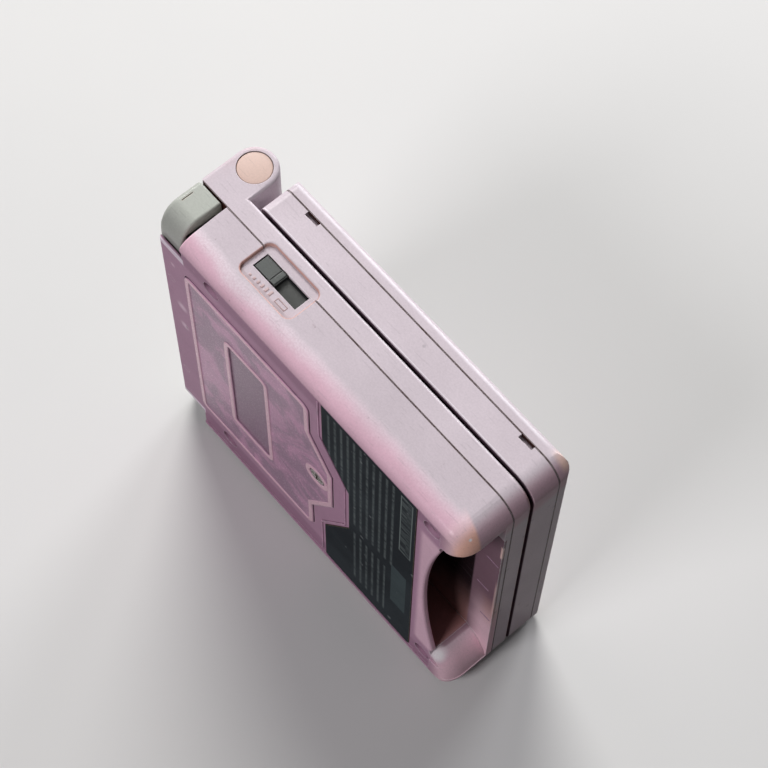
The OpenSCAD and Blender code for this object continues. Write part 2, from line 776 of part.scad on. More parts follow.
module button_a() framed() color(sage) push_button(a_at, action_r);
module button_b() framed() color(sage) push_button(b_at, action_r);
module action_membrane() framed() color(rubber_grey) membrane([a_at, b_at], 3, 5, dome_top);
module start_button() framed() color(sage) push_button(start_at, small_r);
module select_button() framed() color(sage) push_button(select_at, small_r);
module small_button_membrane() framed() color(rubber_grey) membrane([start_at, select_at], 2, 3.2, dome_top);
module light_button() framed() color(sage) push_button(light_at, small_r);
module light_switch() framed() color(charcoal) {
    slab(board_top, board_top + 0.5) rrect(light_at - [2.5, 2.5], light_at + [2.5, 2.5], 0.3);
    post(light_at, 1.2, board_top + 0.4, dome_top);
}

module speaker() framed() color(charcoal) difference() {
    union() {
        post(speaker_at, speaker_r, board_y, key_under - 0.1);
        post(speaker_at, speaker_r - 3, board_y - board_gap / 2, key_under - 0.6);
    }
    difference() {
        post(speaker_at, speaker_r - 1.2, key_under - 0.7, key_under + over);
        post(speaker_at, 3, key_under - over, key_under - 0.3);
    }
}

module led_lenses() framed() color([0.75, 0.85, 0.70])
    for (p = led_at) {
        post(p, led_r, key_under - 0.1, base_top - 0.05);
        post(p, led_r + 0.4, board_top + 0.1, key_under - 0.05);
    }

// A socket behind a rear opening, whose spans in y and z are given
module port(ys, zs, tongue) {
    y0 = ys[0] + port_fit;
    y1 = ys[1] - port_fit;
    z0 = zs[0] + port_fit;
    z1 = zs[1] - port_fit;
    end = bay_x - 1.1;
    mid_y = (y0 + y1) / 2;
    difference() {
        block([wall + 0.1, y0 - port_t, z0 - port_t], [end, y1 + port_t, z1 + port_t]);
        block([wall, y0, z0], [end - 1, y1, z1]);
    }
    block([wall + 0.6, mid_y - tongue / 2, z0 + 1.2], [end - 1 + eps, mid_y + tongue / 2, z1 - 1.2]);
}

module link_port() framed() color(steel) port(link_y, link_z, 0.7);
module charge_port() framed() color(steel) port(charge_y, charge_z, 0.6);

// ---- hinge ---------------------------------------------------------------

module hinge_cap() axle(cap_r, body_width - cap_t - 0.05, body_width - 0.02);
module hinge_cap_left() framed() color(peach) hinge_cap();
module hinge_cap_right() framed() color(peach) mirrored() hinge_cap();

module hinge_bush_left() framed() color(steel) difference() {
    axle(pin_r, barrel_z1 - pin_reach, body_width - cap_t - 0.2);
    axle(roll_r + 0.1, 0, body_width);
    block([hinge_x - 0.5, hinge_y - 3, way_z0 + 0.2], [hinge_x + 0.5, hinge_y, way_z1 - 0.2]);
}

module hinge_clutch_right() framed() color(steel) axle(pin_r, cap_t + 0.2, barrel_z0 + 2);

module hinge_cam() framed() color(gold) difference() {
    axle(pin_r, barrel_z0 + 2.1, barrel_z0 + pin_reach);
    axle(0.8, barrel_z0 + 2, barrel_z0 + 5);
}

module ribbon_tail() framed() color([0.78, 0.55, 0.25]) {
    z0 = way_z0 + 0.4;
    z1 = way_z1 - 0.4;
    y0 = board_top + 0.8;
    plug_x = shoulder_back + comp_wall + 1;
    difference() {
        union() {
            axle(roll_r, mid_z + ribbon_w / 2 + 0.2, z1);
            block([hinge_x - ribbon_t / 2, y0, z0], [hinge_x + ribbon_t / 2, hinge_y, z1]);
        }
        axle(roll_r - roll_t, 0, body_width);
    }
    block([hinge_x - ribbon_t / 2, y0, z0], [plug_x + 2, y0 + ribbon_t, z1]);
    block([plug_x, board_top + 0.02, z0], [plug_x + 2, y0 + eps, z1]);
}

// ---- lid -----------------------------------------------------------------

module lid_outline(inset) {
    rrect([lid_rear_x + inset, inset], [body_depth - inset, body_width - inset], corner_r - inset);
    rrect([lid_rear_x + inset, inset], [body_depth - corner_r - 1, body_width - inset], lid_rear_r - inset);
}

module barrel_block(y0, y1, x0) block([x0, y0, barrel_z0], [lid_rear_x + lid_wall + 1, y1, barrel_z1]);

module lid_screw_places()
    for (p = lid_screw_at, z = [p.y, body_width - p.y]) translate([p.x, 0, z]) children();

module lid_notches() {
    for (x = lid_notch_x)
        block([x, lid_seam - lid_notch_h, body_width - lid_wall + 0.4],
            [x + lid_notch_len, lid_seam + over, body_width + over]);
}

module lid_inner_shell() framed() color(pearl) difference() {
    union() {
        difference() {
            slab(lid_bottom, lid_seam) lid_outline(0);
            slab(lid_bottom + lid_face_t, lid_seam + over) lid_outline(lid_wall);
        }
        barrel_block(lid_bottom, lid_seam, hinge_x);
        axle(hinge_r, barrel_z0, barrel_z1);
        lid_screw_places() rotate([-90, 0, 0])
            translate([0, 0, lid_bottom]) cylinder(r = lid_boss_r, h = 4);
    }
    // pocket and window of the screen lens
    block([lens_x0, lid_bottom - over, lens_z0], [lens_x1, lid_bottom + lens_depth, body_width - lens_z0]);
    block([lens_x0 + view_in, lid_bottom - over, lens_z0 + view_in],
        [lens_x1 - view_in, lid_bottom + lid_face_t + over, body_width - lens_z0 - view_in]);
    axle(hinge_bore_r, barrel_z0 - over, barrel_z0 + pin_reach + 0.5);
    axle(hinge_bore_r, barrel_z1 - pin_reach - 0.5, barrel_z1 + over);
    axle(hinge_r - 1.2, mid_z - ribbon_w / 2 - 2, mid_z + ribbon_w / 2 + 3);
    // way for the ribbon into the lid
    block([hinge_x, hinge_y - 1, mid_z - ribbon_w / 2 - 1],
        [lid_rear_x + lid_wall + 2, hinge_y + 1, mid_z + ribbon_w / 2 + 1]);
    axle(hinge_bore_r - 0.3, mid_z, barrel_z1 - pin_reach);
    both_sides() lid_notches();
    lid_screw_places() {
        rotate([-90, 0, 0]) translate([0, 0, lid_bottom - over]) cylinder(r = pad_r + 0.05, h = over + 1.7);
        rotate([-90, 0, 0]) translate([0, 0, lid_bottom]) cylinder(r = 0.95, h = lid_screw_len);
    }
}

module lid_outer_shell() framed() color(pearl) difference() {
    union() {
        intersection() {
            union() {
                difference() {
                    slab(lid_seam, body_thick) lid_outline(0);
                    slab(lid_seam - over, body_thick - lid_wall + 0.2) lid_outline(lid_wall);
                }
                block([2 * hinge_r + 0.3, lid_seam, barrel_z0], [lid_rear_x + 1, body_thick, barrel_z1]);
            }
            bar(0, body_width)
                rrect([0, 0], [body_depth, body_thick], lid_edge_r);
            beam(0, body_depth) rrect([0, 0], [body_thick, body_width], lid_edge_r);
        }
        lid_screw_places() rotate([-90, 0, 0]) translate([0, 0, lid_bottom + 4.1])
            cylinder(r = lid_boss_r - 0.1, h = body_thick - lid_wall + 0.3 - lid_bottom - 4.1);
    }
    lid_screw_places() rotate([-90, 0, 0]) translate([0, 0, lid_bottom + 4]) cylinder(r = 0.7, h = 2);
}

module screen_lens() framed() color([0.10, 0.11, 0.12])
    slab(lid_bottom + lens_depth - lens_t - 0.05, lid_bottom + lens_depth - 0.05)
        rrect([lens_x0 + fit, lens_z0 + fit], [lens_x1 - fit, body_width - lens_z0 - fit], 0.6);

module lcd_panel() framed() color(slate) difference() {
    block([lens_x0 + lcd_in, lcd_y, lens_z0 + lcd_in],
        [lens_x1 - lcd_in, lcd_y + lcd_t, body_width - lens_z0 - lcd_in]);
    block([lens_x0 + view_in + 1, lcd_y - over, lens_z0 + view_in + 1],
        [lens_x1 - view_in - 1, lcd_y + 0.4, body_width - lens_z0 - view_in - 1]);
}

module display_ribbon() framed() color([0.78, 0.55, 0.25])
    block([hinge_x + roll_r + 0.1, hinge_y - ribbon_t / 2, mid_z - ribbon_w / 2],
        [lens_x0 + lcd_in - 0.05, hinge_y + ribbon_t / 2, mid_z + ribbon_w / 2]);

module lid_screws() framed() color(steel)
    for (p = lid_screw_at, z = [p.y, body_width - p.y])
        screw([p.x, z], lid_bottom + 0.75, lid_screw_len, 0.65, pad_r - 0.1, 0.9);

module lid_screw_pads() framed() color(rubber_grey)
    for (p = lid_screw_at, z = [p.y, body_width - p.y])
        post([p.x, z], pad_r, lid_bottom - pad_out, lid_bottom + 0.7);

base_lower_shell();
base_upper_shell();
battery_cover();
battery_cover_screw();
battery_pack();
battery_contacts();
rating_label();
cartridge_connector();
connector_pins();
main_board();
board_chips();
base_screws();
shoulder_button_left();
shoulder_button_right();
shoulder_pin_left();
shoulder_pin_right();
shoulder_spring_left();
shoulder_spring_right();
shoulder_switch_left();
shoulder_switch_right();
volume_slider();
volume_switch();
power_slider();
power_switch();
dpad();
dpad_guard();
dpad_pivot();
dpad_membrane();
button_a();
button_b();
action_membrane();
start_button();
select_button();
small_button_membrane();
light_button();
light_switch();
speaker();
led_lenses();
link_port();
charge_port();
hinge_cap_left();
hinge_cap_right();
hinge_bush_left();
hinge_clutch_right();
ribbon_tail();
lid_inner_shell();
lid_outer_shell();
screen_lens();
lcd_panel();
display_ribbon();
lid_screws();
lid_screw_pads();
hinge_cam();
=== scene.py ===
# %% [markdown]
# # Dressing a clamshell handheld console
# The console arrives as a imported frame: fifty-three plain pieces, each on the body that carries it.
# This lesson lights it, gives every piece a finish, and replaces the pieces that show with softer,
# more worn ones. Places are written in millimetres from the hinge edge (x), the underside (y) and
# the right side (z) that the console stands on, and one helper turns them into Blender's metres.

import json
import math

import bmesh
import bpy
from mathutils import Matrix, Vector


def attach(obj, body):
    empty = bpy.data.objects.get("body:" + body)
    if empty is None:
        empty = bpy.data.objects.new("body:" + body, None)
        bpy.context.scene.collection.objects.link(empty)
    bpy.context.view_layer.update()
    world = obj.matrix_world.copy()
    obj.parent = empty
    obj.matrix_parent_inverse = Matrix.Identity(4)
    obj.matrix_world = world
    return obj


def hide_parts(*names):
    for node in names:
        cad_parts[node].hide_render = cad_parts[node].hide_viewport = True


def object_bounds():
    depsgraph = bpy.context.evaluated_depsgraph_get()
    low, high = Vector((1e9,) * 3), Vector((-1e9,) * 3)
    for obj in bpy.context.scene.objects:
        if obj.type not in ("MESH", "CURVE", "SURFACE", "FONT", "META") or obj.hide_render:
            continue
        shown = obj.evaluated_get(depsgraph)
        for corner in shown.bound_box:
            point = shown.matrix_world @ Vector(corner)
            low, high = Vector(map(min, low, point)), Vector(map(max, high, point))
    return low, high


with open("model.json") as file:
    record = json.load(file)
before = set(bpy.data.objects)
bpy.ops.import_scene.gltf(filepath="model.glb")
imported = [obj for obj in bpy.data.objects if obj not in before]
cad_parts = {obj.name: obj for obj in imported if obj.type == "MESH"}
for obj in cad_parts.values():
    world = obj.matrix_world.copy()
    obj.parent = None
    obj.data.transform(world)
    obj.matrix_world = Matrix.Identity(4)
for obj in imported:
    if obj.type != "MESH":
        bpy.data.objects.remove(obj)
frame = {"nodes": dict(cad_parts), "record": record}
cad_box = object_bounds()
nodes = frame["nodes"]
print("CAD pieces:", len(nodes))

# %% Millimetres from the console's own corner
MM = 0.001
DEPTH, THICK, WIDTH = ((high - low) / MM for low, high in zip(*cad_box))
MIDDLE = WIDTH / 2
BASE_TOP, SEAM, LID_BOTTOM, LID_SEAM = 15.7, 11.5, 16.2, 22.1
HINGE = 4.6, 20.4


def at(x, y, z):
    return Vector(((x - DEPTH / 2) * MM, (y - THICK / 2) * MM, z * MM))


def spot(v):
    return v.x / MM + DEPTH / 2, v.y / MM + THICK / 2, v.z / MM


print(f"console: {DEPTH:.1f} x {THICK:.1f} x {WIDTH:.1f} mm")

# %% [markdown]
# ## Camera
# The view is from above the front left corner through a long lens, which keeps the console's
# edges nearly parallel. The camera is placed by two angles around the console and a roll.


# %% Camera
def look_from(azimuth, elevation, roll, distance, target):
    a, e, r = (math.radians(v) for v in (azimuth, elevation, roll))
    back = Vector((math.sin(a) * math.cos(e), -math.cos(a) * math.cos(e), math.sin(e)))
    right = Vector((0, 0, 1)).cross(back).normalized()
    up = back.cross(right)
    turned = math.cos(r) * right + math.sin(r) * up
    up = -math.sin(r) * right + math.cos(r) * up
    place = Matrix((turned, up, back)).transposed().to_4x4()
    place.translation = Vector(target) * MM + back * distance * MM
    return place


FOCAL_PIXELS, PICTURE, SENSOR = 2279.3, 768, 36.0
AZIMUTH, ELEVATION, ROLL, DISTANCE, TARGET = 47.87, 65.88, 1.44, 384.4, (12.75, -4.97, 90.68)
bpy.ops.object.camera_add()
camera = bpy.context.object
camera.name = "view"
camera.data.sensor_width = SENSOR
camera.data.lens = FOCAL_PIXELS / PICTURE * SENSOR
camera.matrix_world = look_from(AZIMUTH, ELEVATION, ROLL, DISTANCE, TARGET)
bpy.context.scene.camera = camera
print("lens:", round(camera.data.lens, 1), "mm")

# %% [markdown]
# ## Floor and light
# A pale floor and one wide lamp above and behind the hinge give the soft look of a window. A weaker
# lamp on the underside's side keeps that face readable, and one low beyond the lid draws a bright
# line along its edges. The world adds a plain fill, and looks pale where the camera or a
# reflection sees it. The floor throws back less light than it shows, so the front stays dark.


# %% Floor
bpy.ops.mesh.primitive_plane_add(size=6, location=(0, 0, -0.00002))
floor = bpy.context.object
floor.name = "floor"


# %% Lamps
LIT_POINT = Vector((0, 0, 0.04))


def lamp(name, place, size, power, colour):
    bpy.ops.object.light_add(type="AREA", location=place)
    made = bpy.context.object
    made.name = name
    made.data.shape = "DISK"
    made.data.size, made.data.energy, made.data.color = size, power, colour
    aim = LIT_POINT - Vector(place)
    made.rotation_euler = aim.to_track_quat("-Z", "Y").to_euler()


lamp("window", (-0.60, 0.42, 0.68), 0.5, 8.0, (1.0, 0.985, 0.97))
lamp("room", (-0.02, -0.70, 0.70), 0.35, 4.0, (1.0, 0.965, 1.0))
lamp("edge", (-0.34, 1.02, 0.30), 0.4, 7.0, (0.98, 0.97, 1.0))

# %% World
world = bpy.data.worlds.new("studio")
world.use_nodes = True
bpy.context.scene.world = world
bpy.context.scene.view_settings.view_transform = "Standard"


# %% [markdown]
# ## Materials
# A few short helpers write node trees as plain calls, each into the tree that its inputs come
# from. Colours are written as the eye sees them, from 0 to 255, and turned into the linear values
# that a shader wants. A mask is usually a product of ramps, each from 0 to 1 along one axis.


# %% Helpers for nodes
def tone(red, green, blue):
    def linear(v):
        v /= 255
        return v / 12.92 if v <= 0.04045 else ((v + 0.055) / 1.055) ** 2.4

    return linear(red), linear(green), linear(blue), 1.0


def feed(tree, socket, value):
    if isinstance(value, bpy.types.NodeSocket):
        tree.links.new(value, socket)
    else:
        socket.default_value = value


def put(tree, kind, inputs=None, **settings):
    made = tree.nodes.new(kind)
    for key, value in settings.items():
        setattr(made, key, value)
    for key, value in (inputs or {}).items():
        feed(tree, made.inputs[key], value)
    return made


def step(kind, inputs, **settings):
    """Puts a node into the tree that its linked inputs come from."""
    tree = next(v.id_data for v in inputs.values() if isinstance(v, bpy.types.NodeSocket))
    return put(tree, kind, inputs, **settings)


def wire(tree, node, **values):
    for key, value in values.items():
        feed(tree, node.inputs[key.replace("_", " ")], value)


def own_place(tree):
    return put(tree, "ShaderNodeTexCoord").outputs["Object"]


def maths(operation, a, b=0.0, clamp=False):
    return step("ShaderNodeMath", {0: a, 1: b}, operation=operation, use_clamp=clamp).outputs[0]


def fold(operation, values):
    result = values[0]
    for value in values[1:]:
        result = maths(operation, result, value)
    return result


def times(*values):
    return fold("MULTIPLY", values)


def plus(*values):
    return fold("ADD", values)


def most(*values):
    return fold("MAXIMUM", values)


def minus(a, b):
    return maths("SUBTRACT", a, b)


def apart(a, b):
    return maths("ABSOLUTE", minus(a, b))


def ramp(value, low, high, out_low=0.0, out_high=1.0):
    inputs = {"Value": value, "From Min": low, "From Max": high, "To Min": out_low, "To Max": out_high}
    return step("ShaderNodeMapRange", inputs, interpolation_type="SMOOTHSTEP").outputs[0]


def between(value, low, high, soft=0.04):
    rise = ramp(value, low - soft, low + soft)
    return times(rise, ramp(value, high - soft, high + soft, 1.0, 0.0))


def mix(factor, a, b, blend="MIX"):
    inputs = {0: factor, 6: a, 7: b}
    return step("ShaderNodeMix", inputs, data_type="RGBA", blend_type=blend).outputs[2]


def layers(colour, *coats):
    """Lays each coat, a mask and its colour, over the ones before."""
    for mask, shade in coats:
        colour = mix(mask, colour, shade)
    return colour


def noise(place, scale, detail=2.0, rough=0.5, distortion=0.0):
    inputs = {"Vector": place, "Scale": scale, "Detail": detail, "Roughness": rough}
    return step("ShaderNodeTexNoise", {**inputs, "Distortion": distortion}).outputs["Fac"]


# %% Paint the floor and the world
def empty_material(name):
    material = bpy.data.materials.new(name)
    material.use_nodes = True
    material.node_tree.nodes.clear()
    tree = material.node_tree
    shader = put(tree, "ShaderNodeBsdfPrincipled")
    put(tree, "ShaderNodeOutputMaterial", {"Surface": shader.outputs[0]})
    return material, tree, shader


def looked_at(tree):
    """One for rays from the camera or by way of a shiny or clear surface, nothing for others."""
    rays = put(tree, "ShaderNodeLightPath").outputs
    return most(*(rays[f"Is {kind} Ray"] for kind in ("Camera", "Glossy", "Transmission")))


pale, tree, shader = empty_material("pale_floor")
shade = noise(own_place(tree), 9.0, 4.0)
pale_tone = mix(shade, tone(212, 213, 212), tone(222, 222, 220))
wire(tree, shader, Base_Color=mix(looked_at(tree), tone(98, 89, 91), pale_tone), Roughness=0.7)
floor.data.materials.append(pale)

tree = world.node_tree
tree.nodes.clear()
fill = put(tree, "ShaderNodeBackground", {"Color": (0.93, 0.96, 1.0, 1), "Strength": 0.045})
back = put(tree, "ShaderNodeBackground", {"Color": tone(222, 223, 222), "Strength": 1.0})
both = put(tree, "ShaderNodeMixShader", {0: looked_at(tree), 1: fill.outputs[0], 2: back.outputs[0]})
put(tree, "ShaderNodeOutputWorld", {"Surface": both.outputs[0]})


# %% [markdown]
# ### Effects that several finishes share
# Real mouldings never have knife edges, and paint wears off the edges first. The Bevel node knows
# how close a point is to an edge: its normal gives the soft highlight, and its difference from the
# true normal gives a mask for the bare rim. Ambient occlusion finds the creases that gather dirt.
# Each effect is one node group, so that each material only sets its strength.


# %% A group's shell
def new_group(name, inputs, outputs):
    group = bpy.data.node_groups.new(name, "ShaderNodeTree")
    for label, kind, value in inputs:
        socket = group.interface.new_socket(label, in_out="INPUT", socket_type="NodeSocket" + kind)
        if value is not None:
            socket.default_value = value
    for label, kind in outputs:
        group.interface.new_socket(label, in_out="OUTPUT", socket_type="NodeSocket" + kind)
    return group, group.nodes.new("NodeGroupInput").outputs, group.nodes.new("NodeGroupOutput").inputs


def use(tree, group, **inputs):
    made = put(tree, "ShaderNodeGroup", node_tree=group)
    wire(tree, made, **inputs)
    return made.outputs


# %% Worn edges
worn_edge, gin, gout = new_group(
    "worn_edge",
    [("Radius", "Float", 0.0002), ("Reach", "Float", 0.0005), ("Patchiness", "Float", 0.5)],
    [("Normal", "Vector"), ("Wear", "Float")],
)
soft = step("ShaderNodeBevel", {"Radius": gin["Radius"]}, samples=6)
wide = step("ShaderNodeBevel", {"Radius": gin["Reach"]}, samples=4)
true_normal = put(worn_edge, "ShaderNodeNewGeometry").outputs["Normal"]
ends = {0: wide.outputs[0], 1: true_normal}
alike = step("ShaderNodeVectorMath", ends, operation="DOT_PRODUCT").outputs["Value"]
edge = ramp(minus(1.0, alike), 0.01, 0.16)
patches = ramp(noise(own_place(worn_edge), 260.0, 5.0, 0.65), 0.36, 0.62)
patches = maths("ADD", minus(1.0, gin["Patchiness"]), patches, True)
feed(worn_edge, gout["Wear"], times(edge, patches))
feed(worn_edge, gout["Normal"], soft.outputs[0])

# %% Dirt in the creases
crease_dirt, gin, gout = new_group(
    "crease_dirt", [("Reach", "Float", 0.0004), ("Amount", "Float", 0.6)], [("Dirt", "Float")]
)
open_sky = step("ShaderNodeAmbientOcclusion", {"Distance": gin["Reach"]}, samples=6)
deep = ramp(minus(1.0, open_sky.outputs["AO"]), 0.18, 0.6)
grime = ramp(noise(own_place(crease_dirt), 420.0, 4.0, 0.6), 0.2, 0.6, 0.45, 1.0)
feed(crease_dirt, gout["Dirt"], times(deep, grime, gin["Amount"]))

# %% Mottled paint, fine specks and hairline scratches
aged_paint, gin, gout = new_group(
    "aged_paint",
    [("Place", "Vector", None), ("Specks", "Float", 0.5), ("Scratches", "Float", 0.5)],
    [("Cloud", "Float"), ("Grain", "Float"), ("Specks", "Float"), ("Scratches", "Float")],
)
feed(aged_paint, gout["Cloud"], noise(gin["Place"], 55.0, 3.0, 0.55))
feed(aged_paint, gout["Grain"], noise(gin["Place"], 2600.0, 3.0, 0.6))
dots = step("ShaderNodeTexVoronoi", {"Vector": gin["Place"], "Scale": 330.0, "Randomness": 1.0})
rare = step("ShaderNodeSeparateColor", {0: dots.outputs["Color"]})
dot = times(ramp(dots.outputs["Distance"], 0.16, 0.06), ramp(rare.outputs[0], 0.93, 0.96))
feed(aged_paint, gout["Specks"], times(dot, gin["Specks"]))
threads = []
for turn, stretch in ((0.5, (240, 2600, 2600)), (-0.9, (200, 2300, 2300)), (1.7, (300, 3000, 3000))):
    inputs = {"Vector": gin["Place"], "Rotation": (turn, turn * 2.1, turn), "Scale": stretch}
    mapped = step("ShaderNodeMapping", inputs).outputs[0]
    threads.append(ramp(noise(mapped, 1.0, 0.0), 0.77, 0.80))
feed(aged_paint, gout["Scratches"], times(most(*threads), gin["Scratches"]))


# %% [markdown]
# ### Moulded and painted plastic
# One recipe serves all hard plastics: a colour that may vary over the piece, a cloudy change of
# tone, a fine grain, bare edges and dark creases. The creases are dirt on most pieces and painted
# shade, near black, on the knobs and the plate behind them. The edge's soft normal carries the grain's bump.


# %% The plastic recipe
def plastic(name, colour, rough=0.4, bare=None, wear=0.5, dirt=0.5, soft_mm=0.15, grain=0.012, specks=0.3,
            scratches=0.3, coat=0.0, zones=None, dirt_and_shade_tone=(88, 56, 48), gleam=0.35):
    material, tree, shader = empty_material(name)
    place = own_place(tree)
    age = use(tree, aged_paint, Place=place, Specks=specks, Scratches=scratches)
    edge = use(tree, worn_edge, Radius=soft_mm * MM, Reach=soft_mm * 2.2 * MM)
    crease = use(tree, crease_dirt, Amount=dirt)["Dirt"]
    cloud = ramp(age["Cloud"], 0.3, 0.7, 0.94, 1.03)
    cloud = times(cloud, ramp(age["Grain"], 0.25, 0.75, 0.955, 1.045))
    shaded = step("ShaderNodeCombineColor", {0: cloud, 1: cloud, 2: cloud}).outputs[0]
    base = mix(1.0, zones(place) if zones else tone(*colour), shaded, "MULTIPLY")
    base = layers(
        base,
        (times(edge["Wear"], wear), tone(*(bare or [min(255, v + 28) for v in colour]))),
        (times(age["Scratches"], 0.45), tone(*[v * 0.62 for v in colour])),
        (times(age["Specks"], 0.8), tone(*[v * 0.55 for v in colour])),
        (crease, tone(*dirt_and_shade_tone)),
    )
    gloss = ramp(age["Grain"], 0.3, 0.7, rough * 0.85, min(1.0, rough * 1.2))
    gloss = maths("ADD", gloss, times(crease, 0.2), True)
    bumps = {"Height": age["Grain"], "Distance": 0.00012, "Strength": grain * 10, "Normal": edge["Normal"]}
    wire(tree, shader, Base_Color=base, Roughness=gloss, Specular_IOR_Level=gleam, Coat_Weight=coat,
         Coat_Roughness=0.16, Normal=step("ShaderNodeBump", bumps).outputs[0])
    return material



# %% [markdown]
# ### The pearl paint
# The shells are moulded in pale plastic under a thin pink-grey pearl paint with a clear coat. It
# has yellowed and rubbed differently by place: matt and greyish on the flat sides, pinker on the
# rounded rim, peach on the corners that hands touch, and still glossy purple on the underside.
# Masks from the object's own coordinates choose between these tones, and some of them paint light
# and shade: highlight lines and spots, darker corners, a darker strip underneath, a dark slot,
# lighter fins and lip, and the shade in the lid's gap.


# %% Where a point lies, in console millimetres
def axes(place):
    parts = step("ShaderNodeSeparateXYZ", {0: place}).outputs
    shifts = DEPTH / 2, THICK / 2, 0
    return [plus(times(part, 1 / MM), shift) for part, shift in zip(parts, shifts)]


def ball_mask(place, centre, near, far):
    ends = {0: place, 1: at(*centre)}
    gap = step("ShaderNodeVectorMath", ends, operation="DISTANCE").outputs["Value"]
    return ramp(gap, near * MM, far * MM, 1.0, 0.0)


# %% The pearl's tones
GREY_PINK = (208, 197, 204)
UPPER_TONE, LID_TONE, REAR_TONE = tone(214, 203, 210), tone(216, 205, 212), tone(214, 186, 190)
RIM_TONE, RUBBED_TONE, CORNER_SHADE_TONE = tone(232, 192, 208), tone(236, 228, 234), tone(212, 180, 192)
SEAM_TONE, SCUFF_TONE, RECESS_TONE = tone(66, 38, 34), tone(150, 128, 134), tone(208, 166, 156)
UNDER_TONE, STRIP_SHADE_TONE = tone(196, 154, 180), tone(178, 136, 162)
LEDGE_HIGHLIGHT_TONE, LIP_TONE, HIGHLIGHT_SPOT_TONE = tone(252, 236, 250), tone(246, 206, 224), tone(248, 222, 238)
MOUTH_SHADE_TONE, SLOT_SHADE_TONE, LIT_TONE = tone(132, 104, 116), tone(38, 28, 31), tone(168, 124, 120)
BROW_HIGHLIGHT_TONE, GLINT_TONE, GAP_SHADE_TONE = tone(255, 222, 212), tone(255, 250, 252), tone(84, 66, 76)
FIN_TONE, FIN_TIP_TONE, LOWER_FIN_TONE = tone(248, 212, 218), tone(255, 202, 182), tone(246, 208, 220)
PEACH_TONE, LID_TIP_TONE = tone(234, 188, 178), tone(255, 220, 206)

# %% Places of the marks, in millimetres
RECESS, RECESS_HALF, RECESS_ROUND = (25.05, 9.15), (5.55, 2.45), 1.55
LINE_HALF, SLOT_HALF, SLOT_FLOOR, SLOT_CEILING = 0.22, 29.4, 1.8, 10.5
GAP_REACH = 1.2
# Painted highlights: places and reaches of pale spots on the underside.
HIGHLIGHT_SPOTS = ((11.2, 0, 76), 0.6), ((4.3, 0, 68.4), 1.0), ((5.4, 0, 52.4), 2.0), ((5.2, 0, 44), 1.7)
GLINTS = ((82.97, 2.81, 80.48), 0.12, 0.42), ((79.6, 1.5, 10.8), 0.5, 2.5)


def recess_edge(x, y, side):
    """A worn line round the switch recesses: a rounded box's border, half a millimetre wide."""
    out_x, out_y = (most(minus(apart(value, middle), half), 0.0)
                    for value, middle, half in zip((x, y), RECESS, RECESS_HALF))
    far = plus(maths("POWER", out_x, 2.0), maths("POWER", out_y, 2.0))
    off = apart(maths("SQRT", far), RECESS_ROUND)
    reach = most(ramp(side, 40.2, 40.6), ramp(x, 19.6, 18.9))
    return times(ramp(off, 0.28, 0.08), times(reach, ramp(side, 39.4, 39.6)))


def seam_line(y, level):
    return ramp(apart(y, level), LINE_HALF, LINE_HALF * 0.6)


def case_seam(x, y):
    """The base's seam, which stops at the switch recess."""
    past_recess = minus(1.0, between(x, 18.1, 32.0, 0.1))
    return times(seam_line(y, SEAM), past_recess)


# Painted shade: the front corners of the case and lid are tinted darker and purple, where their curve turns
# away from the lamps.
def corner_shade(x, z):
    return times(ramp(x, 80.8, 83.4), ramp(z, 72.0, 76.0))


def scuffs(place, low, amount):
    return ramp(noise(place, 240.0, 6.0, 0.8), low, low + 0.08, 0.0, amount)


# %% Zones of the lower shell
def fin_tips(x, y, z, wander):
    """The fins beside the slot, worn to bare peach and lightened by painted light: a slanting tip on the
    upper one, all of the lower one.
    """
    slant = plus(y, times(minus(x, 79.2), 0.28))
    tips = ramp(plus(x, times(wander, 2.0)), 78.5, 83.5)
    lower_fin = ramp(z, 40.0, 20.0)
    bare = mix(ramp(x, 80.6, 83.4), FIN_TONE, FIN_TIP_TONE)
    return times(tips, most(ramp(slant, 5.8, 5.0), lower_fin)), mix(lower_fin, bare, LOWER_FIN_TONE)


